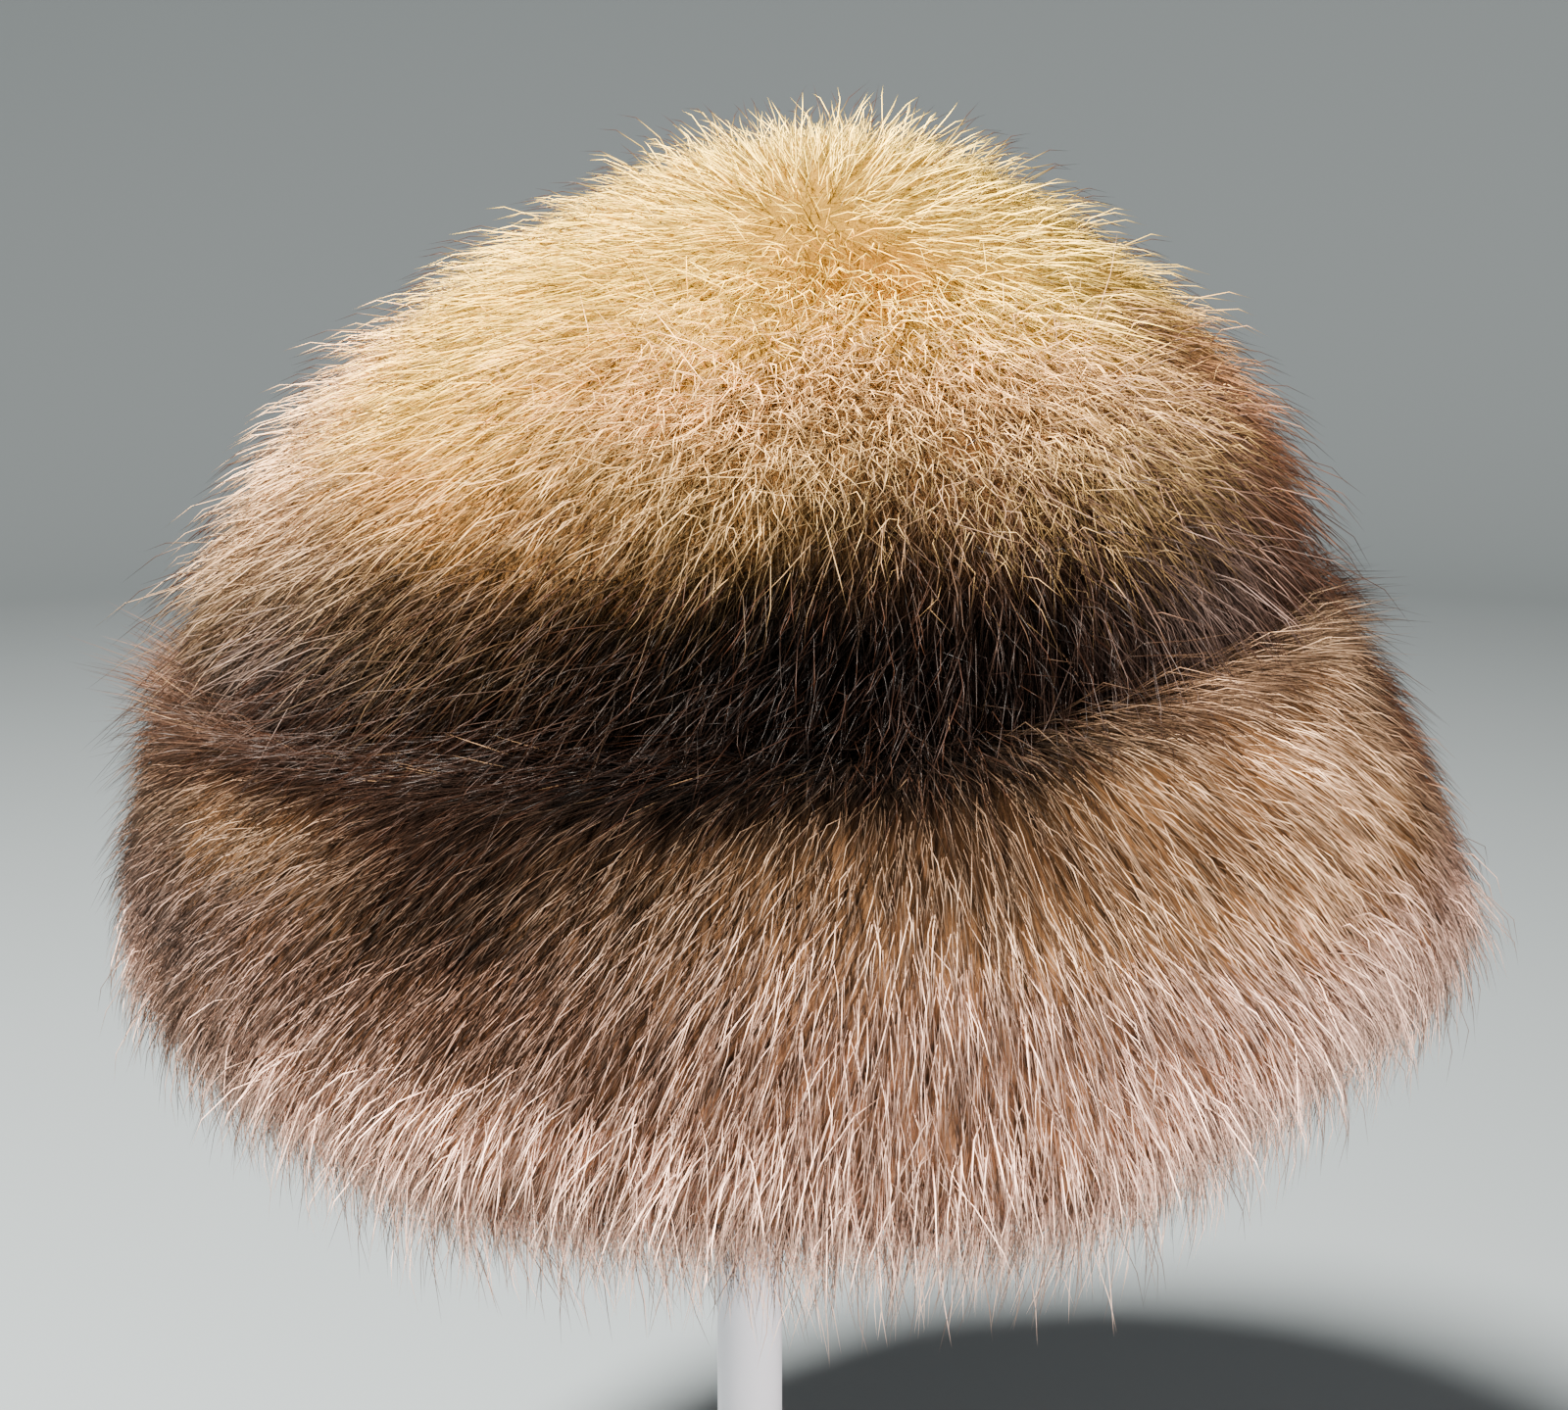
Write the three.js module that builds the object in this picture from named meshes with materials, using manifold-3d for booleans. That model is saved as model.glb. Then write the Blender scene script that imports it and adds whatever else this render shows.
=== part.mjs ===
// A raccoon fur hat on a plain display stand, in millimetres, +Z up, with the stand's foot at the origin.
// The hat is a bell-shaped crown and a flared brim, each a curved wall of skin with a deep coat of fur in locks.
// The front of the hat faces -Y, and its right side in that view is +X.
import * as THREE from "three";
import { mergeVertices } from "three/addons/utils/BufferGeometryUtils.js";
import Module from "manifold-3d";

// The skin walls of the hat.
const HALF_WIDTH = 97; // over the skin at the seam, left to right
const HALF_LENGTH = 101; // over the skin at the seam, front to back
const SKIN = 3; // thickness of skin and backing together
const BRIM_EDGE_HEIGHT = 214; // the skin's lower edge above the table
const SEAM_HEIGHT = 286; // the seam between crown and brim, above the table
const SEAM_RISE = 10; // the seam stands this much higher on the right side, and lower on the left
const CROWN_TOP = 377; // the skin's highest point above the table
const CROWN_LEAN = 19; // how far the top leans to the right
const BRIM_FLARE = 27; // how far the brim's edge stands out past the seam
const BRIM_DRIFT = 12; // how far the brim's edge sits to the right of the crown
const SEAM_GAP = 0.5; // between crown and brim pieces along the seam
const COAT_GAP = 0.4; // between the skin and the coat on it

// The fur.
const CROWN_PILE = 35; // depth of the coat over the crown, to the tips of the locks
const BRIM_PILE = 36; // depth of the coat over the brim
const UNDERFUR = 0.68; // share of the pile that is packed underfur, which carries the locks
const LOCK_WIDTH = 34;
const LOCK_LENGTH = 54;
const LOCK_RIDGE = 11; // height of a lock's ridge over its two edges
const LOCK_BEND = 125; // radius in which a lock bends back towards the skin
const LOCK_ROOT = 0.38; // how deep in the coat a lock is rooted, as a share of the pile
const LOCK_RISE = 0.52; // how far its tip rises over its root, as a share of the pile
const LOCK_SPREAD = { place: 0.16, share: 0.025, long: 0.14, rise: 0.07, wide: 0.12 }; // chance in each lock
const HEM_SWING = 118; // degrees through which the coat swings round under the brim's edge
const HEM_LEFT = 0.5; // how much of the coat's depth is left at the end of that swing
const WHORL_TURN = -Math.PI * 0.44; // where the hairs part, round the crown from its right side
const WHORL_SHARE = 0.84; // where the hairs part, as a share of the way from seam to top

// The stand.
const FOOT_RADIUS = 88;
const FOOT_THICKNESS = 9;
const FOOT_BEVEL = 2.5;
const POST_RADIUS = 8;
const SOCKET_DEPTH = 6;
const FIT = 0.4; // clearance round the post in its sockets, and under the hat
const CAP_RADIUS = 42;
const CAP_RISE = 15;
const CAP_RIM = 4;

// How finely the walls are drawn.
const COLUMNS = 32;
const CROWN_ROWS = 7;
const BRIM_ROWS = 4;
const HEM_ROWS = 3; // below the brim's edge, where the coat swings round it
const ROUND_SIDES = 32;

// The crown's profile from the seam to the top, as shares of the half width and of the height over the seam.
const CROWN_SECTIONS = [
  { out: 1, up: 0 },
  { out: 0.975, up: 0.2 },
  { out: 0.9, up: 0.38 },
  { out: 0.75, up: 0.56 },
  { out: 0.53, up: 0.74 },
  { out: 0.27, up: 0.91 },
  { out: 0, up: 1 },
];

// The brim's profile from the seam to its edge, as shares of the flare and of the drop below the seam.
const BRIM_SECTIONS = [
  { out: 0, down: 0 },
  { out: 0.38, down: 0.18 },
  { out: 0.72, down: 0.42 },
  { out: 0.93, down: 0.7 },
  { out: 1, down: 1 },
];

// Waves of the brim's edge: where, how wide, how far it lifts as a share of the brim's drop, and how far it is
// pushed out as a share of the flare.
const BRIM_WAVES = [
  { turn: -38, width: 17, lift: 0.2, push: -0.24 },
  { turn: -8, width: 26, lift: 0.14, push: 0.2 },
  { turn: 178, width: 34, lift: 0.16, push: 0.14 },
  { turn: -146, width: 18, lift: 0.06, push: -0.05 },
  { turn: 62, width: 24, lift: -0.05, push: 0.1 },
  { turn: 118, width: 20, lift: 0.07, push: -0.1 },
];

// Dents and bulges of the crown: where, how wide, and how far they stand out as a share of the half width.
const CROWN_WAVES = [
  { turn: 172, share: 0.12, wide: 34, tall: 0.28, push: 0.05 },
  { turn: -35, share: 0.5, wide: 26, tall: 0.2, push: -0.035 },
  { turn: -105, share: 0.35, wide: 28, tall: 0.25, push: 0.03 },
  { turn: 70, share: 0.45, wide: 34, tall: 0.3, push: -0.03 },
];

// Rows of locks over the crown and the brim: where the roots stand, as a share of the way from seam to top or from
// seam to edge, how long the locks are as a share of the lock length, and how far they lean out past the skin's slope.
const CROWN_LOCK_ROWS = [
  { share: 0.24, long: 0.95, lean: 0 },
  { share: 0.42, long: 1, lean: 0 },
  { share: 0.58, long: 1, lean: 0 },
  { share: 0.74, long: 0.9, lean: 0 },
  { share: 0.88, long: 0.72, lean: 0.03 },
  { share: 0.97, long: 0.5, lean: 0.12 },
];
const BRIM_LOCK_ROWS = [
  { share: 0.1, long: 0.95, lean: 0 },
  { share: 0.38, long: 1, lean: -0.05 },
  { share: 0.66, long: 0.85, lean: -0.1 },
  { share: 0.93, long: 0.6, lean: -0.3 },
];

const FULL_TURN = 2 * Math.PI;
const LEAN_CURVE = 1.3; // how late the crown's lean sets in towards its top
const LAST_ROOT = 0.97; // no lock is rooted past this share of a wall
const CORE_DEPTH = 3 * SKIN; // how far inside the skin's outside the locks are cut away
const NEAR_SEAM = 0.22; // share of the way from the seam over which the coat thins into the crease
const CREASE = 0.78; // how much of the coat's depth is left at the seam
const crownCurve = new THREE.SplineCurve(CROWN_SECTIONS.map((row) => new THREE.Vector2(row.out, row.up)));
const brimCurve = new THREE.SplineCurve(BRIM_SECTIONS.map((row) => new THREE.Vector2(row.out, row.down)));

const wasm = await Module();
wasm.setup();

// A seeded source of numbers from 0 to 1, so that the fur is the same each time.
function makeChance(seed) {
  let state = seed;
  return () => {
    state = (state * 1664525 + 1013904223) % 4294967296;
    return state / 4294967296;
  };
}

// A smooth hump of height 1 at no distance that dies away over the given width.
function hump(distance, width) {
  return Math.exp(-((distance / width) ** 2));
}

// The smaller angle between two places round the hat, in degrees.
function degreesApart(turn, degrees) {
  const gap = Math.abs(THREE.MathUtils.radToDeg(turn) - degrees) % 360;
  return Math.min(gap, 360 - gap);
}

// The seam lies in a plane that rises to the right.
function seamHeight(x) {
  return SEAM_HEIGHT + (SEAM_RISE * x) / HALF_WIDTH;
}

// A point on the outside of the crown's skin: turn round from the right side, share from 0 at the seam to 1 at the top.
function crownPoint(turn, share) {
  const { x: out, y: up } = crownCurve.getPointAt(Math.min(1, Math.max(0, share)));
  let swell = 1;
  for (const wave of CROWN_WAVES) {
    const near = hump(degreesApart(turn, wave.turn), wave.wide) * hump(share - wave.share, wave.tall);
    swell += wave.push * near * Math.min(1, share / NEAR_SEAM);
  }
  const x = HALF_WIDTH * out * swell * Math.cos(turn);
  const y = HALF_LENGTH * out * swell * Math.sin(turn);
  const foot = seamHeight(x);
  return new THREE.Vector3(x + CROWN_LEAN * up ** LEAN_CURVE, y, foot + (CROWN_TOP - foot) * up);
}

// A point on the outside of the brim's skin: share from 0 at the seam to 1 at the edge.
function brimPoint(turn, share) {
  const { x: out, y: down } = brimCurve.getPointAt(Math.min(1, Math.max(0, share)));
  const drop = SEAM_HEIGHT - BRIM_EDGE_HEIGHT;
  let lift = 0;
  let push = 0;
  for (const wave of BRIM_WAVES) {
    const near = hump(degreesApart(turn, wave.turn), wave.width);
    lift += wave.lift * near;
    push += wave.push * near;
  }
  const flare = BRIM_FLARE * out * (1 + push * out);
  const x = (HALF_WIDTH + flare) * Math.cos(turn);
  const y = (HALF_LENGTH + flare) * Math.sin(turn);
  const top = seamHeight(HALF_WIDTH * Math.cos(turn));
  const edge = BRIM_EDGE_HEIGHT + drop * lift;
  return new THREE.Vector3(x + BRIM_DRIFT * down, y, top + (edge - top) * down);
}

// The outward normal of either wall, from two short steps along it.
function outward(point, turn, share, towardsTop) {
  const step = 0.01;
  const short = 0.985;
  const high = Math.min(1 - 1e-4, share + step);
  const low = Math.max(0, Math.min(share, 1) - step);
  const along = point(turn, high).sub(point(turn, low));
  const round = point(turn + step, Math.min(share, short)).sub(point(turn - step, Math.min(share, short)));
  const normal = towardsTop ? round.cross(along) : along.cross(round);
  return normal.normalize();
}

const crownOut = (turn, share) => outward(crownPoint, turn, share, true);
const brimOut = (turn, share) => outward(brimPoint, turn, share, false);

// The direction in which the coat's depth is measured. At the seam it runs along the seam's plane, so that the two
// coats meet there face to face.
function coatOut(out, turn, share) {
  const level = new THREE.Vector3(Math.cos(turn), Math.sin(turn), (SEAM_RISE / HALF_WIDTH) * Math.cos(turn));
  const blend = Math.min(1, share / NEAR_SEAM);
  return level.normalize().lerp(out(turn, share), blend).normalize();
}

// How much of the full depth the coat has at this share of the way from the seam.
function coatDepth(share) {
  const hem = Math.max(0, share - 1) / (HEM_ROWS / BRIM_ROWS);
  const full = CREASE + (1 - CREASE) * Math.sin((Math.min(1, share / NEAR_SEAM) * Math.PI) / 2);
  return full * (1 - (1 - HEM_LEFT) * hem);
}

// The angle by which the coat has swung round the brim's edge at a share past 1.
function hemAngle(share) {
  return (THREE.MathUtils.degToRad(HEM_SWING) * Math.max(0, share - 1)) / (HEM_ROWS / BRIM_ROWS);
}

// The direction of the brim coat's depth: off the skin down to its edge, and from there round under the edge.
function brimCoatOut(turn, share) {
  const away = coatOut(brimOut, turn, share);
  const onward = brimPoint(turn, 1).sub(brimPoint(turn, 0.9)).normalize();
  const angle = hemAngle(share);
  return away.multiplyScalar(Math.cos(angle)).addScaledVector(onward, Math.sin(angle)).normalize();
}

// How far the coat's inside stands off: the gap to the skin, and under the edge the same gap to the skin's rim.
function coatGap(share) {
  const angle = hemAngle(share);
  return angle > Math.PI / 2 ? COAT_GAP / Math.sin(angle) : COAT_GAP;
}

// A closed wall between two grids of points. Row 0 is the seam; a domed wall ends in one point at the top, and an
// open one in a second rim. With flip, the rows run downwards from the seam. Rows in extra go on past the wall's end.
function wallGeometry(outer, inner, rows, domed, flip, extra = 0) {
  const positions = [];
  const faces = [];
  const rings = domed ? rows : rows + 1 + extra;
  for (const side of [outer, inner])
    for (let row = 0; row < rings; row++)
      for (let column = 0; column < COLUMNS; column++)
        positions.push(...side((FULL_TURN * column) / COLUMNS, row / rows).toArray());
  if (domed) for (const side of [outer, inner]) positions.push(...side(0, 1).toArray());
  const at = (side, row, column) => (side * rings + row) * COLUMNS + (column % COLUMNS);
  const face = (a, b, c) => faces.push(...(flip ? [a, c, b] : [a, b, c]));
  const quad = (a, b, c, d) => {
    face(a, b, c);
    face(a, c, d);
  };
  for (let column = 0; column < COLUMNS; column++) {
    const next = column + 1;
    for (let row = 0; row + 1 < rings; row++) {
      quad(at(0, row, column), at(0, row, next), at(0, row + 1, next), at(0, row + 1, column));
      quad(at(1, row, column), at(1, row + 1, column), at(1, row + 1, next), at(1, row, next));
    }
    quad(at(0, 0, column), at(1, 0, column), at(1, 0, next), at(0, 0, next));
    const last = rings - 1;
    if (domed) {
      face(at(0, last, column), at(0, last, next), 2 * rings * COLUMNS);
      face(at(1, last, column), 2 * rings * COLUMNS + 1, at(1, last, next));
    } else quad(at(0, last, column), at(0, last, next), at(1, last, next), at(1, last, column));
  }
  const geometry = new THREE.BufferGeometry();
  geometry.setAttribute("position", new THREE.Float32BufferAttribute(positions, 3));
  geometry.setIndex(faces);
  return geometry;
}

// One wall of even or given thickness over the crown or the brim, between two distances from the skin's outside.
function wall(point, out, from, to, rows, domed, extra = 0) {
  const shifted = (distance) => (turn, share) =>
    point(turn, share).addScaledVector(out(turn, share), distance(share));
  return wallGeometry(shifted(to), shifted(from), rows, domed, !domed, extra);
}

function solid(geometry) {
  const bare = geometry.clone();
  bare.deleteAttribute("normal");
  bare.deleteAttribute("uv");
  const merged = mergeVertices(bare, 1e-3);
  return new wasm.Manifold(
    new wasm.Mesh({
      numProp: 3,
      vertProperties: merged.attributes.position.array,
      triVerts: new Uint32Array(merged.index.array),
    }),
  );
}

function geometryOf(manifold) {
  const made = manifold.getMesh();
  const geometry = new THREE.BufferGeometry();
  geometry.setAttribute("position", new THREE.BufferAttribute(new Float32Array(made.vertProperties), 3));
  geometry.setIndex(new THREE.BufferAttribute(new Uint32Array(made.triVerts), 1));
  return geometry;
}

// Sections of one lock from root to tip: how far along it, how wide and how thick it is as shares of its greatest
// width and ridge, and how far it has risen from its root's height to its tip's.
const LOCK_SECTIONS = [
  { along: 0, wide: 0.75, thick: 0.8, risen: 0 },
  { along: 0.58, wide: 1, thick: 1, risen: 0.8 },
];

// One lock: a ridge with two edges and a flat belly, bent back to the skin, that tapers to a tip.
function lockGeometry(root, along, away, length, rise, width) {
  const side = along.clone().cross(away).normalize();
  const place = (share, risen) => {
    const height = rise * risen - (length * share) ** 2 / (2 * LOCK_BEND);
    return root.clone().addScaledVector(along, length * share).addScaledVector(away, height);
  };
  const positions = [];
  for (const section of LOCK_SECTIONS) {
    const middle = place(section.along, section.risen);
    const reach = (width / 2) * section.wide;
    const ridge = (LOCK_RIDGE / 2) * section.thick;
    const belly = middle.clone().addScaledVector(away, -ridge);
    positions.push(...belly.clone().addScaledVector(side, reach).toArray());
    positions.push(...middle.clone().addScaledVector(away, ridge).toArray());
    positions.push(...belly.clone().addScaledVector(side, -reach).toArray());
  }
  positions.push(...place(1, 1).toArray());
  const faces = [0, 1, 2];
  const last = (LOCK_SECTIONS.length - 1) * 3;
  for (let ring = 0; ring < last; ring += 3)
    for (let edge = 0; edge < 3; edge++) {
      const [a, b] = [ring + edge, ring + ((edge + 1) % 3)];
      faces.push(a, a + 3, b, b, a + 3, b + 3);
    }
  for (let edge = 0; edge < 3; edge++) faces.push(last + edge, last + 3, last + ((edge + 1) % 3));
  const geometry = new THREE.BufferGeometry();
  geometry.setAttribute("position", new THREE.Float32BufferAttribute(positions, 3));
  geometry.setIndex(faces);
  return geometry;
}

// The rows of locks over one wall, as solids. comb gives the way the hairs lie at a point of the skin.
function locks(point, out, comb, rows, pile, seed) {
  const chance = makeChance(seed);
  const spread = (amount) => (chance() - 0.5) * 2 * amount;
  const made = [];
  rows.forEach((row, index) => {
    const start = point(0, row.share);
    const across = start.distanceTo(point(Math.PI, row.share)) / 2 + pile * UNDERFUR;
    const count = Math.max(3, Math.round((FULL_TURN * across) / LOCK_WIDTH));
    for (let n = 0; n < count; n++) {
      const turn = (FULL_TURN * (n + (index % 2) / 2 + spread(LOCK_SPREAD.place))) / count;
      const share = Math.min(LAST_ROOT, row.share + spread(LOCK_SPREAD.share));
      const away = out(turn, share);
      const root = point(turn, share).addScaledVector(away, pile * LOCK_ROOT);
      const along = comb(root, away, turn).addScaledVector(away, row.lean).normalize();
      const length = LOCK_LENGTH * row.long * (1 + spread(LOCK_SPREAD.long));
      const rise = pile * (LOCK_RISE + spread(LOCK_SPREAD.rise));
      const width = LOCK_WIDTH * (1 + spread(LOCK_SPREAD.wide));
      made.push(solid(lockGeometry(root, along, away, length, rise, width)));
    }
  });
  return made;
}

// Crown hairs lie away from the whorl, and brim hairs down the brim.
const whorl = crownPoint(WHORL_TURN, WHORL_SHARE);
function crownComb(root, away) {
  const from = root.clone().sub(whorl);
  return from.addScaledVector(away, -from.dot(away)).normalize();
}
function brimComb(root, away, turn) {
  const down = brimPoint(turn, 1).sub(brimPoint(turn, 0.5));
  return down.addScaledVector(away, -down.dot(away)).normalize();
}

// Half of space above or below the seam's plane, as a large box turned to lie on it.
function halfSpace(side) {
  const size = 4 * (HALF_LENGTH + BRIM_FLARE + BRIM_PILE + LOCK_LENGTH);
  const box = new THREE.BoxGeometry(size, size, size);
  box.translate(0, 0, (side * (size + SEAM_GAP)) / 2);
  box.rotateY(-Math.atan2(SEAM_RISE, HALF_WIDTH));
  box.translate(0, 0, SEAM_HEIGHT);
  return solid(box);
}

// A coat of fur: packed underfur with locks growing out of it, cut level with the seam. The brim's goes on round its
// edge by the rows in hem.
function coat(point, out, comb, rows, pile, wallRows, domed, hem, seed) {
  const away = domed ? (turn, share) => coatOut(out, turn, share) : brimCoatOut;
  const packedDepth = (share) => pile * UNDERFUR * coatDepth(share);
  const packed = solid(wall(point, away, coatGap, packedDepth, wallRows, domed, hem));
  const core = solid(wall(point, away, () => -CORE_DEPTH, () => COAT_GAP, wallRows, domed));
  const grown = wasm.Manifold.union(locks(point, out, comb, rows, pile, seed));
  return grown.subtract(core).add(packed).intersect(halfSpace(domed ? 1 : -1));
}

// One skin wall, which stands off the seam's plane by half the gap there.
function skin(point, out, rows, domed) {
  const standOff = ((domed ? 1 : -1) * SEAM_GAP) / 2;
  const shifted = (distance) => (turn, share) => {
    const at = point(turn, share).addScaledVector(coatOut(out, turn, share), distance);
    return at.setZ(at.z + standOff * (1 - share));
  };
  return wallGeometry(shifted(0), shifted(-SKIN), rows, domed, !domed);
}

// The height of the cap's top over its rim, at this distance from the post's axis.
function capRise(radius) {
  return CAP_RISE * (1 - (radius / CAP_RADIUS) ** 2);
}

// How high the cap's rim can stand before its top meets the inside of the crown, less the clearance.
function capHeight(skin) {
  const corners = skin.attributes.position;
  const steps = 6;
  let height = Infinity;
  const [a, b, c] = [new THREE.Vector3(), new THREE.Vector3(), new THREE.Vector3()];
  for (let face = 0; face < skin.index.count; face += 3) {
    [a, b, c].forEach((corner, n) => corner.fromBufferAttribute(corners, skin.index.getX(face + n)));
    for (let i = 0; i <= steps; i++)
      for (let j = 0; j <= steps - i; j++) {
        const at = a.clone().multiplyScalar(i / steps);
        at.addScaledVector(b, j / steps).addScaledVector(c, 1 - (i + j) / steps);
        const radius = Math.hypot(at.x, at.y);
        if (radius <= CAP_RADIUS) height = Math.min(height, at.z - capRise(radius));
      }
  }
  return height - FIT;
}

function turned(profile) {
  return new THREE.LatheGeometry(
    profile.map(([radius, height]) => new THREE.Vector2(radius, height)),
    ROUND_SIDES,
  ).rotateX(Math.PI / 2);
}

// A round foot with a bevelled rim and a socket for the post.
function footGeometry() {
  const socket = POST_RADIUS + FIT;
  return turned([
    [0, 0],
    [FOOT_RADIUS, 0],
    [FOOT_RADIUS, FOOT_THICKNESS - FOOT_BEVEL],
    [FOOT_RADIUS - FOOT_BEVEL, FOOT_THICKNESS],
    [socket, FOOT_THICKNESS],
    [socket, FOOT_THICKNESS - SOCKET_DEPTH],
    [0, FOOT_THICKNESS - SOCKET_DEPTH],
  ]);
}

function postGeometry(from, to) {
  return turned([
    [0, from],
    [POST_RADIUS, from],
    [POST_RADIUS, to],
    [0, to],
  ]);
}

// A domed cap with a socket under it for the post.
function capGeometry(rim) {
  const socket = POST_RADIUS + FIT;
  const dome = [];
  const steps = 4;
  for (let n = 0; n <= steps; n++) {
    const radius = CAP_RADIUS * Math.cos((n / steps) * (Math.PI / 2));
    dome.push([n === steps ? 0 : radius, rim + capRise(radius)]);
  }
  return turned([
    [0, rim - CAP_RIM + SOCKET_DEPTH],
    [socket, rim - CAP_RIM + SOCKET_DEPTH],
    [socket, rim - CAP_RIM],
    [CAP_RADIUS, rim - CAP_RIM],
    ...dome,
  ]);
}

const skinLeather = new THREE.MeshStandardMaterial({ color: "#b59a7c", roughness: 0.9, metalness: 0, name: "skin" });
const crownHair = new THREE.MeshStandardMaterial({ color: "#b08a54", roughness: 0.75, metalness: 0, name: "crown fur" });
const brimHair = new THREE.MeshStandardMaterial({ color: "#a07a58", roughness: 0.75, metalness: 0, name: "brim fur" });
const whitePaint = new THREE.MeshStandardMaterial({ color: "#e6e6ee", roughness: 0.4, metalness: 0, name: "white" });

const part = new THREE.Group();
function add(name, geometry, material) {
  const mesh = new THREE.Mesh(geometry, material);
  mesh.name = name;
  part.add(mesh);
}

const crownSkinGeometry = skin(crownPoint, crownOut, CROWN_ROWS, true);
const capRim = capHeight(crownSkinGeometry);
add("stand_foot", footGeometry(), whitePaint);
add("stand_post", postGeometry(FOOT_THICKNESS - SOCKET_DEPTH + FIT, capRim - CAP_RIM + SOCKET_DEPTH - FIT), whitePaint);
add("stand_cap", capGeometry(capRim), whitePaint);
add("crown_skin", crownSkinGeometry, skinLeather);
add("brim_skin", skin(brimPoint, brimOut, BRIM_ROWS, false), skinLeather);
add(
  "crown_fur",
  geometryOf(coat(crownPoint, crownOut, crownComb, CROWN_LOCK_ROWS, CROWN_PILE, CROWN_ROWS, true, 0, 11)),
  crownHair,
);
add(
  "brim_fur",
  geometryOf(coat(brimPoint, brimOut, brimComb, BRIM_LOCK_ROWS, BRIM_PILE, BRIM_ROWS, false, HEM_ROWS, 23)),
  brimHair,
);

export default part;
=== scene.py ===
import math

import bpy
from mathutils import Matrix, Vector, noise
from mathutils.bvhtree import BVHTree


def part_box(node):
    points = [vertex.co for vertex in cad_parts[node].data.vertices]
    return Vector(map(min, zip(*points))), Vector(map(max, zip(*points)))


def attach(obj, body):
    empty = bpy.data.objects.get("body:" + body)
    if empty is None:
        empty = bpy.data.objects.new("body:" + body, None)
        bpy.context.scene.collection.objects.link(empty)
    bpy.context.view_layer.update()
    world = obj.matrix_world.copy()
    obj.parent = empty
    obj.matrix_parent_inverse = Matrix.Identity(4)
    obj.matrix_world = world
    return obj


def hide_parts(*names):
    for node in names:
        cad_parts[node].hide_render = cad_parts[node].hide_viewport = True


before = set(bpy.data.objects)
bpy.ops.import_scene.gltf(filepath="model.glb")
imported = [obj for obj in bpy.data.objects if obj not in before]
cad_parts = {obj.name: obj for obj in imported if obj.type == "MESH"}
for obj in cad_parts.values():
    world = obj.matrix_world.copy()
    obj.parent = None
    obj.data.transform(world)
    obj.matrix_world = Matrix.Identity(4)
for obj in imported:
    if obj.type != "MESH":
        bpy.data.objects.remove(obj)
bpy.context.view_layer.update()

# The stand: a round steel foot, a straight post and a domed cap, painted white.
# The foot has a rounded rim, the post stands in a socket in it, and the cap carries the crown from inside.
MM = 0.001
STAND_SIDES = 96
SHARP_ANGLE = math.radians(40)
RIM_ROUND = 2.4 * MM
CAP_RIM = 4 * MM
CAP_DOME_STEPS = 12
SOCKET_CLEAR = 0.4 * MM
PAINT_COLOUR = (0.80, 0.80, 0.86, 1)
PAINT_SPECKLE = 900


def new_material(name):
    material = bpy.data.materials.new(name)
    material.use_nodes = True
    tree = material.node_tree
    return material, tree, tree.nodes["Principled BSDF"]


def add_piece(name, mesh, replaced=None):
    piece = bpy.data.objects.new(name, mesh)
    bpy.context.scene.collection.objects.link(piece)
    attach(piece, "root")
    if replaced:
        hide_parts(replaced)
    return piece


def lathe(name, profile, material):
    """A round body with its axis on +Z, from (radius, height) pairs that start and end on the axis."""
    verts = []
    faces = []
    rings = []
    for radius, height in profile:
        if radius == 0:
            rings.append([len(verts)])
            verts.append((0, 0, height))
            continue
        rings.append(list(range(len(verts), len(verts) + STAND_SIDES)))
        for n in range(STAND_SIDES):
            turn = 2 * math.pi * n / STAND_SIDES
            verts.append((radius * math.cos(turn), radius * math.sin(turn), height))
    for low, high in zip(rings, rings[1:]):
        for n in range(STAND_SIDES):
            m = (n + 1) % STAND_SIDES
            corners = [low[n % len(low)], low[m % len(low)], high[m % len(high)], high[n % len(high)]]
            faces.append(list(dict.fromkeys(corners)))
    mesh = bpy.data.meshes.new(name)
    mesh.from_pydata(verts, [], faces)
    mesh.materials.append(material)
    mesh.shade_smooth()
    mesh.set_sharp_from_angle(angle=SHARP_ANGLE)
    return mesh


def rounded(radius, height, size, up, steps=6):
    """A quarter round at an outer edge, from its lower end to its upper one."""
    points = []
    for n in range(steps + 1):
        angle = math.pi / 2 * n / steps
        if up:
            points.append((radius - size + size * math.cos(angle), height - size + size * math.sin(angle)))
        else:
            points.append((radius - size + size * math.sin(angle), height + size - size * math.cos(angle)))
    return points


paint, tree, shader = new_material("white paint")
shader.inputs["Base Color"].default_value = PAINT_COLOUR
shader.inputs["Roughness"].default_value = 0.34
shader.inputs["Coat Weight"].default_value = 0.25
shader.inputs["Coat Roughness"].default_value = 0.2
place = tree.nodes.new("ShaderNodeTexCoord")
speckle = tree.nodes.new("ShaderNodeTexNoise")
speckle.inputs["Scale"].default_value = PAINT_SPECKLE
speckle.inputs["Detail"].default_value = 3
tree.links.new(place.outputs["Object"], speckle.inputs["Vector"])
bump = tree.nodes.new("ShaderNodeBump")
bump.inputs["Strength"].default_value = 0.06
bump.inputs["Distance"].default_value = 0.2 * MM
tree.links.new(speckle.outputs["Fac"], bump.inputs["Height"])
tree.links.new(bump.outputs["Normal"], shader.inputs["Normal"])

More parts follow.
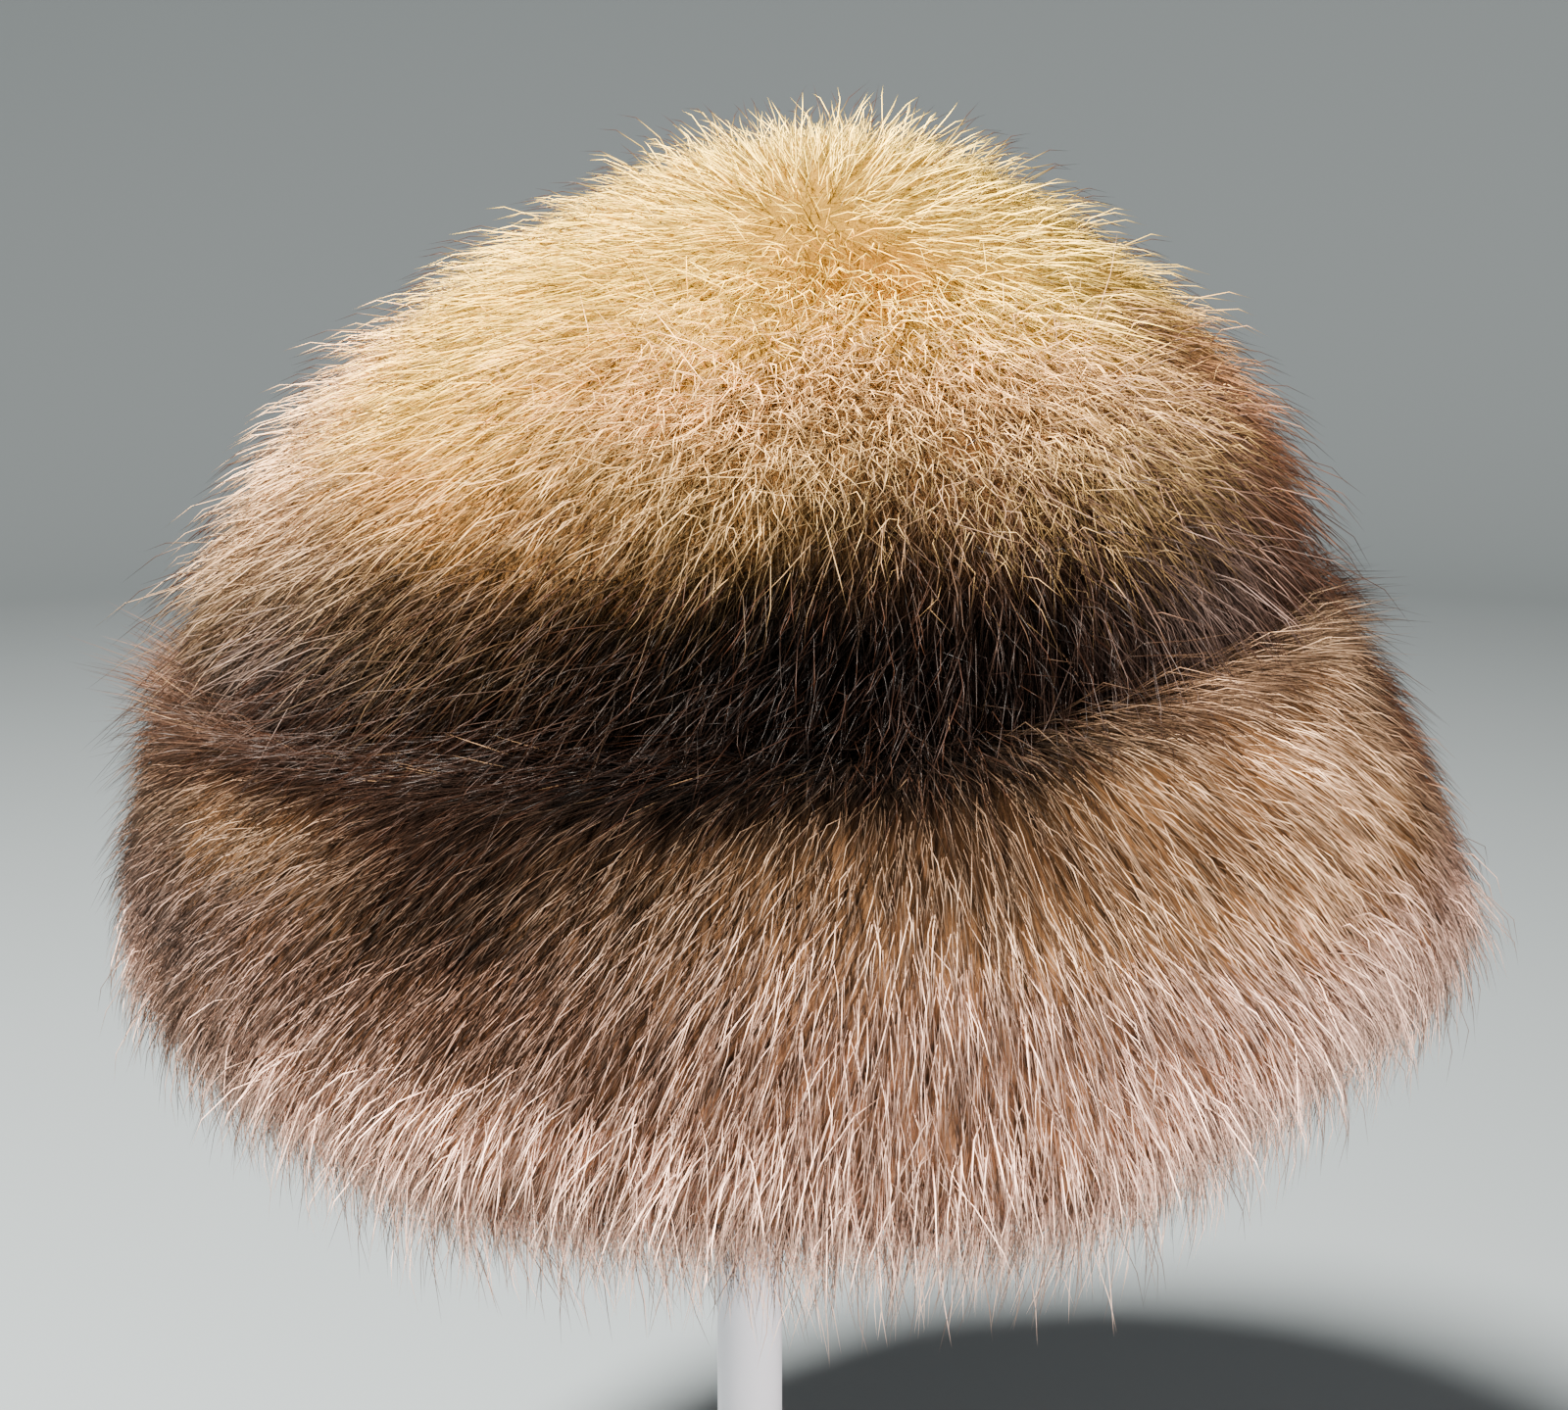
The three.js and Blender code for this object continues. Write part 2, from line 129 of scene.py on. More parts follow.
foot_low, foot_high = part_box("stand_foot")
post_low, post_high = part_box("stand_post")
cap_low, cap_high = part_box("stand_cap")
socket_radius = post_high.x + SOCKET_CLEAR
foot_socket = post_low.z - SOCKET_CLEAR
cap_socket = post_high.z + SOCKET_CLEAR
foot_profile = [(0, foot_low.z)]
foot_profile += rounded(foot_high.x, foot_low.z, RIM_ROUND / 3, up=False)
foot_profile += rounded(foot_high.x, foot_high.z, RIM_ROUND, up=True)
foot_profile += [(socket_radius, foot_high.z), (socket_radius, foot_socket), (0, foot_socket)]
foot = lathe("stand_foot_finished", foot_profile, paint)
add_piece("stand_foot_finished", foot, "stand_foot")
post_profile = [(0, post_low.z), (post_high.x, post_low.z), (post_high.x, post_high.z), (0, post_high.z)]
post = lathe("stand_post_finished", post_profile, paint)
add_piece("stand_post_finished", post, "stand_post")
cap_profile = [(0, cap_socket), (socket_radius, cap_socket), (socket_radius, cap_low.z)]
cap_profile += rounded(cap_high.x, cap_low.z, RIM_ROUND / 2, up=False)
for n in range(CAP_DOME_STEPS + 1):
    share = n / CAP_DOME_STEPS
    radius = cap_high.x * math.cos(share * math.pi / 2)
    rise = (cap_high.z - cap_low.z - CAP_RIM) * (1 - (radius / cap_high.x) ** 2)
    cap_profile.append((0 if n == CAP_DOME_STEPS else radius, cap_low.z + CAP_RIM + rise))
cap = lathe("stand_cap_finished", cap_profile, paint)
add_piece("stand_cap_finished", cap, "stand_cap")

# The skins: tanned raccoon skin with a thin backing, cut to a dome and a flared brim and sewn edge to edge.
# The suede side faces in and shows when the hat is seen from below; the fur stands on the outer side.
SKIN_COLOUR = (0.46, 0.34, 0.24, 1)
SKIN_DARK = (0.33, 0.235, 0.16, 1)
MOTTLE_SCALE = 45
NAP_SCALE = 1400

suede, tree, shader = new_material("suede")
place = tree.nodes.new("ShaderNodeTexCoord")
mottle = tree.nodes.new("ShaderNodeTexNoise")
mottle.inputs["Scale"].default_value = MOTTLE_SCALE
mottle.inputs["Detail"].default_value = 8
tree.links.new(place.outputs["Object"], mottle.inputs["Vector"])
shade = tree.nodes.new("ShaderNodeMix")
shade.data_type = "RGBA"
shade.inputs["A"].default_value = SKIN_COLOUR
shade.inputs["B"].default_value = SKIN_DARK
tree.links.new(mottle.outputs["Fac"], shade.inputs["Factor"])
tree.links.new(shade.outputs["Result"], shader.inputs["Base Color"])
nap = tree.nodes.new("ShaderNodeTexNoise")
nap.inputs["Scale"].default_value = NAP_SCALE
nap.inputs["Detail"].default_value = 4
tree.links.new(place.outputs["Object"], nap.inputs["Vector"])
bump = tree.nodes.new("ShaderNodeBump")
bump.inputs["Strength"].default_value = 0.5
bump.inputs["Distance"].default_value = 0.4 * MM
tree.links.new(nap.outputs["Fac"], bump.inputs["Height"])
tree.links.new(bump.outputs["Normal"], shader.inputs["Normal"])
shader.inputs["Roughness"].default_value = 0.92
shader.inputs["Sheen Weight"].default_value = 0.35
shader.inputs["Sheen Roughness"].default_value = 0.5

for node in ("crown_skin", "brim_skin"):
    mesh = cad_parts[node].data.copy()
    mesh.materials.clear()
    mesh.materials.append(suede)
    wall = add_piece(node + "_sewn", mesh, node)
    weld = wall.modifiers.new("weld", "WELD")
    weld.merge_threshold = 0.02 * MM
    rounding = wall.modifiers.new("rounding", "SUBSURF")
    rounding.levels = 1
    rounding.render_levels = 1
    mesh.shade_smooth()

# The shape of the coat, measured off the skins: every hair of the crown and the brim starts from it.
# The crown is read from a point inside it, and the brim from the stand's axis, always from outside inwards.
AROUND = 112
CROWN_ROWS = 34
BRIM_ROWS = 26
HEM_ROWS = 6
HEM_TURN = math.radians(120)
REACH = 400 * MM
SEAM_RISE = math.radians(1)
SEAM_CLEAR = 1.2 * MM
EDGE_CLEAR = 0.5 * MM
EDGE_STEPS = 16
EDGE_UNDER = 5 * MM
EDGE_OVER = 20 * MM
PILE = 36 * MM
crown_low, crown_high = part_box("crown_skin")
brim_low, brim_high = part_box("brim_skin")
seam_middle = (crown_low.z + brim_high.z) / 2
seam_slope = (brim_high.z - crown_low.z) / (crown_high.x - crown_low.x)


def surface_of(node):
    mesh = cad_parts[node].data
    return BVHTree.FromPolygons([v.co for v in mesh.vertices], [p.vertices for p in mesh.polygons])


def outermost(surface, middle, direction):
    """The outside of a wall in this direction from a point inside it, or None."""
    return surface.ray_cast(middle + direction * REACH, -direction, REACH)[0]


crown_surface = surface_of("crown_skin")
brim_surface = surface_of("brim_skin")
crown_middle = Vector((0, 0, seam_middle))


def crown_at(turn, share):
    """A point on the crown's skin: turn from the right side, share from 0 at the seam to 1 at the top."""
    lowest = math.atan(seam_slope * math.cos(turn)) + SEAM_RISE
    rise = lowest + (math.pi / 2 - lowest) * share
    level = math.cos(rise)
    direction = Vector((level * math.cos(turn), level * math.sin(turn), math.sin(rise)))
    return outermost(crown_surface, crown_middle, direction)


def brim_edge(turn):
    """The height of the brim's lower edge at this turn, found by halving the stretch that holds it."""
    direction = Vector((math.cos(turn), math.sin(turn), 0))
    low = brim_low.z - EDGE_UNDER
    high = seam_middle - EDGE_OVER
    for _ in range(EDGE_STEPS):
        middle = (low + high) / 2
        if outermost(brim_surface, Vector((0, 0, middle)), direction):
            high = middle
        else:
            low = middle
    return high


def brim_at(turn, share, edge):
    """A point on the brim's skin: share from 0 at the seam to 1 at the lower edge."""
    top = seam_middle + seam_slope * crown_high.x * math.cos(turn) - SEAM_CLEAR
    direction = Vector((math.cos(turn), math.sin(turn), 0))
    height = top + (edge + EDGE_CLEAR - top) * share
    return outermost(brim_surface, Vector((0, 0, height)), direction)


def turns():
    return [2 * math.pi * n / AROUND for n in range(AROUND)]


def smooth_normals(grid, outward_from):
    """A normal at each point of a grid that closes round, turned away from the given point."""
    rows = len(grid)
    made = []
    for r in range(rows):
        made.append([])
        for c in range(AROUND):
            across = grid[r][(c + 2) % AROUND] - grid[r][c - 2]
            along = grid[min(r + 2, rows - 1)][c] - grid[max(r - 2, 0)][c]
            normal = across.cross(along)
            if normal.length < 1e-12:
                normal = Vector((0, 0, 1))
            normal.normalize()
            if normal.dot(grid[r][c] - outward_from) < 0:
                normal.negate()
            made[-1].append(normal)
    return made


def grid_mesh(name, grid, top=None):
    """An open sheet through the grid, facing out; a grid with a top is closed there."""
    verts = [p for row in grid for p in row]
    faces = []
    for r in range(len(grid) - 1):
        for c in range(AROUND):
            n = (c + 1) % AROUND
            quad = (r * AROUND + c, r * AROUND + n, (r + 1) * AROUND + n, (r + 1) * AROUND + c)
            faces.append(quad if top is not None else quad[::-1])
    if top is not None:
        last = (len(grid) - 1) * AROUND
        verts.append(top)
        for c in range(AROUND):
            faces.append((last + c, last + (c + 1) % AROUND, len(verts) - 1))
    mesh = bpy.data.meshes.new(name)
    mesh.from_pydata(verts, [], faces)
    return mesh


crown_shares = [n / CROWN_ROWS for n in range(CROWN_ROWS)]
crown_grid = [[crown_at(turn, share) for turn in turns()] for share in crown_shares]
crown_top = crown_at(0, 1)
crown_normals = smooth_normals(crown_grid, crown_middle)
edges = [brim_edge(turn) for turn in turns()]
brim_shares = [n / BRIM_ROWS for n in range(BRIM_ROWS + 1)]
brim_grid = [[brim_at(turn, share, edge) for turn, edge in zip(turns(), edges)] for share in brim_shares]
brim_normals = smooth_normals(brim_grid, Vector((0, 0, seam_middle)))

# Under the brim's edge the coat turns in below the skin, so the last rows swing round the edge.
edge_row, edge_normals, row_above = brim_grid[-1], brim_normals[-1], brim_grid[-3]
for n in range(1, HEM_ROWS + 1):
    swing = HEM_TURN * n / HEM_ROWS
    turned = []
    for point, normal, above in zip(edge_row, edge_normals, row_above):
        onward = (point - above).normalized()
        turned.append(normal * math.cos(swing) + onward * math.sin(swing))
    brim_grid.append(edge_row)
    brim_normals.append(turned)
    brim_shares.append(1 + n / HEM_ROWS)

# The colours of the coat, as the skins were matched: pale gold over the top of the crown, partly painted
# light from above, near black where it is sewn, dark hair with painted shade of the crease, brown and sand
# in patches over the brim, the sand on its right partly painted light, and rose tan towards the hem.
# A hair takes the ground colour at its height, and each patch is laid over the ones before it.
CREAM = (1.0, 0.70, 0.11)
GOLD = (0.84, 0.47, 0.17)
HONEY = (0.72, 0.36, 0.03)
TAN = (0.40, 0.26, 0.16)
BROWN = (0.10, 0.054, 0.034)
GREY = (0.15, 0.105, 0.088)
AMBER = (0.25, 0.14, 0.05)
UMBER = (0.18, 0.10, 0.055)
HAY = (0.42, 0.27, 0.10)
SAND = (0.95, 0.62, 0.36)
# DARK is the coat's dark hair, with painted shade added where it is used along the seam.
DARK = (0.014, 0.007, 0.005)
# Near black: dark hair with painted shadow of the crease under the crown.
BLACK_AND_SHADOW = (0.0012, 0.0005, 0.0004)
ROSE = (0.50, 0.30, 0.22)
# Pale pink: the coat's rose hair with painted sheen on it.
PINK = (1.0, 0.65, 0.50)
RUST = (0.10, 0.040, 0.020)
PEACH = (1.0, 0.64, 0.38)

# The plain ground colours up the hat, by height in mm.
# Painted light in the crown's ground: it grows lighter towards the top, partly where the light falls, and
# is near black at the seam, dark hair with painted shade of the crease.
CROWN_GROUND = [
    (280, DARK), (310, DARK), (321, BROWN), (333, TAN), (345, GOLD), (358, CREAM), (390, CREAM),
]
# Painted light in the brim's ground: near black at the seam, dark hair with painted shadow cast by the
# crown, and pink at the hem, the coat's rose with painted sheen.
BRIM_GROUND = [(196, PINK), (216, PINK), (238, ROSE), (256, TAN), (268, BROWN), (280, DARK), (300, DARK)]

# turn is in degrees round from the right side, height in mm, wide in degrees, tall in mm.
CROWN_PATCHES = [
    {"turn": 95, "height": 360, "wide": 66, "tall": 26, "colour": TAN, "much": 0.8},
    {"turn": 70, "height": 330, "wide": 60, "tall": 26, "colour": BROWN, "much": 0.6},
    {"turn": -138, "height": 338, "wide": 32, "tall": 22, "colour": CREAM, "much": 0.95},
    {"turn": -124, "height": 324, "wide": 24, "tall": 10, "colour": GOLD, "much": 0.9},
    {"turn": -172, "height": 325, "wide": 17, "tall": 28, "colour": SAND, "much": 0.85},
    {"turn": -150, "height": 315, "wide": 16, "tall": 14, "colour": SAND, "much": 0.85},
    {"turn": -136, "height": 309, "wide": 16, "tall": 7, "colour": TAN, "much": 0.7},
    {"turn": -104, "height": 320, "wide": 14, "tall": 7, "colour": TAN, "much": 0.6},
    {"turn": -142, "height": 290, "wide": 12, "tall": 10, "colour": GREY, "much": 0.9},
    {"turn": -118, "height": 306, "wide": 16, "tall": 7, "colour": BROWN, "much": 0.8},
    # Painted shade: black patches along the front of the seam, where the crease lies in shadow under the
    # crown, over dark hair.
    {"turn": -87, "height": 315, "wide": 11, "tall": 9, "colour": BLACK_AND_SHADOW, "much": 1.0},
    {"turn": -82, "height": 299, "wide": 30, "tall": 10, "colour": BLACK_AND_SHADOW, "much": 1.0},
    {"turn": -71, "height": 370, "wide": 17, "tall": 11, "colour": HONEY, "much": 1.0},
    {"turn": -72, "height": 343, "wide": 22, "tall": 13, "colour": AMBER, "much": 0.95},
    {"turn": -92, "height": 332, "wide": 18, "tall": 9, "colour": HAY, "much": 0.7},
    {"turn": -50, "height": 329, "wide": 18, "tall": 13, "colour": UMBER, "much": 0.9},
    {"turn": -27, "height": 346, "wide": 14, "tall": 19, "colour": BROWN, "much": 0.95},
    # Painted shade just above the seam, over dark hair.
    {"turn": -60, "height": 313, "wide": 20, "tall": 8, "colour": DARK, "much": 0.75},
    {"turn": -38, "height": 305, "wide": 12, "tall": 12, "colour": GREY, "much": 0.95},
    {"turn": -11, "height": 332, "wide": 20, "tall": 38, "colour": RUST, "much": 0.97},
    {"turn": 0, "height": 300, "wide": 20, "tall": 16, "colour": BROWN, "much": 0.7},
    {"turn": 30, "height": 372, "wide": 30, "tall": 16, "colour": RUST, "much": 0.7},
    {"turn": 92, "height": 345, "wide": 24, "tall": 34, "colour": BROWN, "much": 0.7},
    {"turn": 140, "height": 318, "wide": 22, "tall": 20, "colour": GOLD, "much": 0.6},
]
BRIM_PATCHES = [
    {"turn": -170, "height": 250, "wide": 17, "tall": 34, "colour": BROWN, "much": 0.85},
    {"turn": -138, "height": 259, "wide": 9, "tall": 7, "colour": SAND, "much": 0.6},
    {"turn": -140, "height": 252, "wide": 16, "tall": 9, "colour": GREY, "much": 0.85},
    # Painted shade: the ledge at the seam's left is darkened where it lies in the crease.
    {"turn": -128, "height": 279, "wide": 12, "tall": 10, "colour": DARK, "much": 0.95},
    {"turn": -145, "height": 234, "wide": 20, "tall": 14, "colour": GREY, "much": 0.9},
    {"turn": -146, "height": 214, "wide": 12, "tall": 10, "colour": BROWN, "much": 0.85},
    {"turn": -118, "height": 262, "wide": 10, "tall": 7, "colour": BROWN, "much": 0.9},
    # Painted shadow cast by the crown over the top of the brim's front, on dark hair: the black patches and
    # the dark one under them.
    {"turn": -92, "height": 287, "wide": 44, "tall": 11, "colour": BLACK_AND_SHADOW, "much": 0.9},
    {"turn": -128, "height": 293, "wide": 26, "tall": 9, "colour": BLACK_AND_SHADOW, "much": 0.95},
    {"turn": -89, "height": 282, "wide": 12, "tall": 6, "colour": BLACK_AND_SHADOW, "much": 1.0},
    {"turn": -106, "height": 281, "wide": 18, "tall": 8, "colour": BLACK_AND_SHADOW, "much": 1.0},
    {"turn": -98, "height": 270, "wide": 13, "tall": 8, "colour": BLACK_AND_SHADOW, "much": 0.9},
    {"turn": -106, "height": 268, "wide": 18, "tall": 12, "colour": DARK, "much": 0.95},
    {"turn": -112, "height": 249, "wide": 21, "tall": 14, "colour": DARK, "much": 0.95},
    {"turn": -110, "height": 234, "wide": 18, "tall": 9, "colour": BROWN, "much": 0.8},
    {"turn": -132, "height": 242, "wide": 4, "tall": 10, "colour": ROSE, "much": 0.5},
    {"turn": -84, "height": 268, "wide": 16, "tall": 8, "colour": TAN, "much": 0.5},
    # Pink low on the front: the coat's rose hair with painted sheen.
    {"turn": -82, "height": 250, "wide": 14, "tall": 9, "colour": PINK, "much": 0.3},
    {"turn": -70, "height": 236, "wide": 16, "tall": 8, "colour": PINK, "much": 0.4},
    {"turn": -80, "height": 217, "wide": 13, "tall": 8, "colour": ROSE, "much": 0.7},
    # Painted shadow at the seam, on dark hair.
    {"turn": -66, "height": 292, "wide": 12, "tall": 8, "colour": BLACK_AND_SHADOW, "much": 0.95},
    # Partly painted light: the sand and peach patches on the right of the brim's front, and the strong pink
    # at turn -42, are the coat's pale hair made lighter where more light falls.
    {"turn": -56, "height": 275, "wide": 9, "tall": 7, "colour": SAND, "much": 0.75},
    {"turn": -26, "height": 266, "wide": 8, "tall": 10, "colour": SAND, "much": 0.9},
    {"turn": -46, "height": 290, "wide": 11, "tall": 9, "colour": UMBER, "much": 0.8},
    {"turn": -24, "height": 284, "wide": 9, "tall": 9, "colour": SAND, "much": 0.7},
    {"turn": -56, "height": 255, "wide": 13, "tall": 12, "colour": PEACH, "much": 0.6},
    {"turn": -36, "height": 274, "wide": 11, "tall": 13, "colour": PEACH, "much": 1.0},
    {"turn": -38, "height": 250, "wide": 12, "tall": 16, "colour": PEACH, "much": 1.0},
    {"turn": -6, "height": 256, "wide": 16, "tall": 32, "colour": RUST, "much": 0.97},
    {"turn": -42, "height": 226, "wide": 24, "tall": 14, "colour": PINK, "much": 0.95},
    {"turn": 45, "height": 250, "wide": 20, "tall": 16, "colour": GOLD, "much": 0.5},
    {"turn": 92, "height": 255, "wide": 24, "tall": 30, "colour": BROWN, "much": 0.8},
    {"turn": 140, "height": 240, "wide": 18, "tall": 14, "colour": PEACH, "much": 0.6},
]
STREAK = 0.4
STREAK_SCALE = 85
DRIFT_SCALE = 38
DRIFT_SEED = 1

# A fixed seed, because the edges of the patches would otherwise wander differently in each run.
noise.seed_set(DRIFT_SEED)


def blend(a, b, share):
    return tuple(x + (y - x) * share for x, y in zip(a, b))


def ground_colour(ground, height):
    for (low, a), (high, b) in zip(ground, ground[1:]):
        if height <= high:
            return blend(a, b, min(1, max(0, (height - low) / (high - low))))
    return ground[-1][1]


def turn_of(place):
    return math.degrees(math.atan2(place.y, place.x))


def nearness(patch, place):
    """1 in the middle of a patch, fading to 0 round it."""
    apart = abs(turn_of(place) - patch["turn"]) % 360
    across = min(apart, 360 - apart) / patch["wide"]
    above = (place.z / MM - patch["height"]) / patch["tall"]
    return math.exp(-(across ** 2) - above ** 2)


def coat_colour(place, ground, patches, wander=7 * MM):
    """The colour of the hairs that show at this place; the edges of the patches wander."""
    spot = place + noise.noise_vector(place * DRIFT_SCALE) * wander
    colour = ground_colour(ground, spot.z / MM)
    for patch in patches:
        colour = blend(colour, patch["colour"], patch["much"] * nearness(patch, spot))
    streak = 1 + STREAK * noise.noise(place * STREAK_SCALE)
    return tuple(channel * streak for channel in colour)


# The underfur: dense soft wool, two thirds as deep as the coat, that grows from the whole skin.
# It is one closed layer over each skin, lumped as the wool gathers, and fills the seam between them.
WOOL_DEPTH = 0.66
CREASE_LEFT = 0.78
CREASE_SHARE = 0.24
HEM_LOST = 0.5
LUMP = 2.4 * MM
LUMP_SCALE = 55
SKIN_CLEAR = 0.4 * MM


def wool_depth(share):
    """The share of its full depth that the coat has here: less in the seam and under the brim's edge."""
    near = min(1, share / CREASE_SHARE)
    under = HEM_LOST * max(0, share - 1)
    return CREASE_LEFT + (1 - CREASE_LEFT) * math.sin(near * math.pi / 2) - under


def layer(grid, normals, shares, depth, lump):
    """The grid lifted off the skin by the given share of the pile, with lumps."""
    made = []
    for r, share in enumerate(shares):
        level = min(1, share / CREASE_SHARE)
        row = []
        for c, turn in enumerate(turns()):
            flat = Vector((math.cos(turn), math.sin(turn), seam_slope * math.cos(turn))).normalized()
            away = flat.lerp(normals[r][c], level).normalized()
            lift = PILE * depth * wool_depth(share) + lump * noise.noise(grid[r][c] * LUMP_SCALE)
            row.append(grid[r][c] + away * lift)
        made.append(row)
    return made


def shell(name, outer, inner, outer_top=None, inner_top=None):
    """A closed layer between two grids, with a rim at each open end."""
    rows = len(outer)
    verts = [p for row in outer for p in row] + [p for row in inner for p in row]
    half = rows * AROUND
    faces = []

    def at(side, r, c):
        return side * half + r * AROUND + c % AROUND

    for c in range(AROUND):
        for r in range(rows - 1):
            faces.append((at(0, r, c), at(0, r, c + 1), at(0, r + 1, c + 1), at(0, r + 1, c)))
            faces.append((at(1, r, c), at(1, r + 1, c), at(1, r + 1, c + 1), at(1, r, c + 1)))
        faces.append((at(0, 0, c), at(1, 0, c), at(1, 0, c + 1), at(0, 0, c + 1)))
        if outer_top is None:
            last = rows - 1
            faces.append((at(0, last, c), at(0, last, c + 1), at(1, last, c + 1), at(1, last, c)))
    if outer_top is None:
        faces = [face[::-1] for face in faces]
    else:
        verts += [outer_top, inner_top]
        for c in range(AROUND):
            faces.append((at(0, rows - 1, c), at(0, rows - 1, c + 1), len(verts) - 2))
            faces.append((at(1, rows - 1, c + 1), at(1, rows - 1, c), len(verts) - 1))
    mesh = bpy.data.meshes.new(name)
    mesh.from_pydata(verts, [], faces)
    mesh.shade_smooth()
    return mesh


def write(mesh, name, kind, values):
    """Writes one value for each vertex to a named attribute."""
    made = mesh.attributes.new(name, kind, "POINT")
    key = {"FLOAT": "value", "FLOAT_VECTOR": "vector", "FLOAT_COLOR": "color"}[kind]
    for item, value in zip(made.data, values):
        setattr(item, key, value)


# The crown's hair parts in a whorl high on its front; the brim's hair parts below it.
# The wool's strands follow the same lines: their noise is read round the hat, and slowly along the comb.
WHORL_TURN = math.radians(-68)
WHORL_SHARE = 0.68
whorl = crown_at(WHORL_TURN, WHORL_SHARE)
PART_TURN = math.radians(-71)
ASIDE = 1.25
ASIDE_SPREAD = 2.4
ASIDE_LOST = 0.7
STRAND_STEPS = 8
STRAND_LONG = 0.45
STRANDS_ROUND = 190
BRIM_LOW = 200 * MM
BRIM_REACH = 0.8


def brim_lean(turn, share):
    """How far the brim's hair lies to the side here: none at the parting, and less towards the edge."""
    return ASIDE * math.tanh(ASIDE_SPREAD * math.sin(turn - PART_TURN)) * (1 - ASIDE_LOST * share)


def crown_strand(place):
    """The same value all along one line of combed wool, and how far along it this place is."""
    away = place - whorl
    return away.normalized(), away.length * STRAND_LONG


def brim_strand(place):
    """The same for the brim: the line of wool is followed up to the seam in steps."""
    turn = math.atan2(place.y, place.x)
    below = seam_middle - place.z
    share = min(1, max(0, below / (seam_middle - BRIM_LOW)))
    for n in range(STRAND_STEPS):
        turn -= brim_lean(turn, share * (1 - n / STRAND_STEPS)) * share / STRAND_STEPS * BRIM_REACH
    return Vector((math.cos(turn), math.sin(turn), 0)), below * STRAND_LONG


def paint_strands(mesh, strand):
    """Writes to each vertex which line of wool it is on, and how far along it."""
    found = [strand(vertex.co) for vertex in mesh.vertices]
    write(mesh, "strand", "FLOAT_VECTOR", [across for across, down in found])
    write(mesh, "down", "FLOAT", [down for across, down in found])


def paint_tint(mesh, ground, patches, lead=None):
    """Writes the coat's colour to each vertex, taken where the hair that starts there shows."""
    places = [vertex.co + (lead[n] if lead else Vector()) for n, vertex in enumerate(mesh.vertices)]
    write(mesh, "tint", "FLOAT_COLOR", [(*coat_colour(place, ground, patches), 1) for place in places])


STREAK_READ = (0.38, 0.64)
STREAK_LIGHT = (0.12, 1.5)
# The underfur's own darker colour together with painted shade deep between the hairs.
WOOL_TONE_AND_SHADOW = (0.34, 0.26, 0.18, 1)

wool, tree, shader = new_material("underfur")
tint = tree.nodes.new("ShaderNodeAttribute")
tint.attribute_name = "tint"
strand = tree.nodes.new("ShaderNodeAttribute")
strand.attribute_name = "strand"
down = tree.nodes.new("ShaderNodeAttribute")
down.attribute_name = "down"
fleck = tree.nodes.new("ShaderNodeTexNoise")
fleck.noise_dimensions = "4D"
fleck.inputs["Scale"].default_value = STRANDS_ROUND
fleck.inputs["Detail"].default_value = 4
fleck.inputs["Roughness"].default_value = 0.7
tree.links.new(strand.outputs["Vector"], fleck.inputs["Vector"])
tree.links.new(down.outputs["Fac"], fleck.inputs["W"])
streak = tree.nodes.new("ShaderNodeMapRange")
streak.inputs["From Min"].default_value, streak.inputs["From Max"].default_value = STREAK_READ
streak.inputs["To Min"].default_value, streak.inputs["To Max"].default_value = STREAK_LIGHT
tree.links.new(fleck.outputs["Fac"], streak.inputs["Value"])
light = tree.nodes.new("ShaderNodeMix")
light.data_type = "RGBA"
light.blend_type = "MULTIPLY"
light.inputs["Factor"].default_value = 1
tree.links.new(tint.outputs["Color"], light.inputs["A"])
tree.links.new(streak.outputs["Result"], light.inputs["B"])
# Painted shade: the underfur is multiplied darker all over, partly its own colour and partly the shade deep
# between the hairs.
deep = tree.nodes.new("ShaderNodeMix")
deep.data_type = "RGBA"
deep.blend_type = "MULTIPLY"
deep.inputs["Factor"].default_value = 1
deep.inputs["B"].default_value = WOOL_TONE_AND_SHADOW
tree.links.new(light.outputs["Result"], deep.inputs["A"])
tree.links.new(deep.outputs["Result"], shader.inputs["Base Color"])
bump = tree.nodes.new("ShaderNodeBump")
bump.inputs["Strength"].default_value = 0.8
bump.inputs["Distance"].default_value = 1.5 * MM
tree.links.new(fleck.outputs["Fac"], bump.inputs["Height"])
tree.links.new(bump.outputs["Normal"], shader.inputs["Normal"])
shader.inputs["Roughness"].default_value = 0.9
shader.inputs["Specular IOR Level"].default_value = 0.05

crown_outer = layer(crown_grid, crown_normals, crown_shares, WOOL_DEPTH, LUMP)
up = Vector((0, 0, 1))
crown_inner = [[p + n * SKIN_CLEAR for p, n in zip(*rows)] for rows in zip(crown_grid, crown_normals)]
mesh = shell(
    "crown_underfur",
    crown_outer,
    crown_inner,
    crown_top + up * PILE * WOOL_DEPTH,
    crown_top + up * SKIN_CLEAR,
)
mesh.materials.append(wool)
paint_tint(mesh, CROWN_GROUND, CROWN_PATCHES)
paint_strands(mesh, crown_strand)
add_piece("crown_underfur", mesh, "crown_fur")

brim_outer = layer(brim_grid, brim_normals, brim_shares, WOOL_DEPTH, LUMP)
brim_inner = [[p + n * SKIN_CLEAR for p, n in zip(*rows)] for rows in zip(brim_grid, brim_normals)]
mesh = shell("brim_underfur", brim_outer, brim_inner)
mesh.materials.append(wool)
paint_tint(mesh, BRIM_GROUND, BRIM_PATCHES)
paint_strands(mesh, brim_strand)
add_piece("brim_underfur", mesh, "brim_fur")

# The hair: single guard hairs and straighter wool hairs, thick at the root and drawn to a point.
# Each grows out of the underfur, leans the way the skin is combed, bends and gathers into tufts.
HAIR_SIDES = 3
FLAT_SHARE = 0.75
GATHER_LATE = 1.4


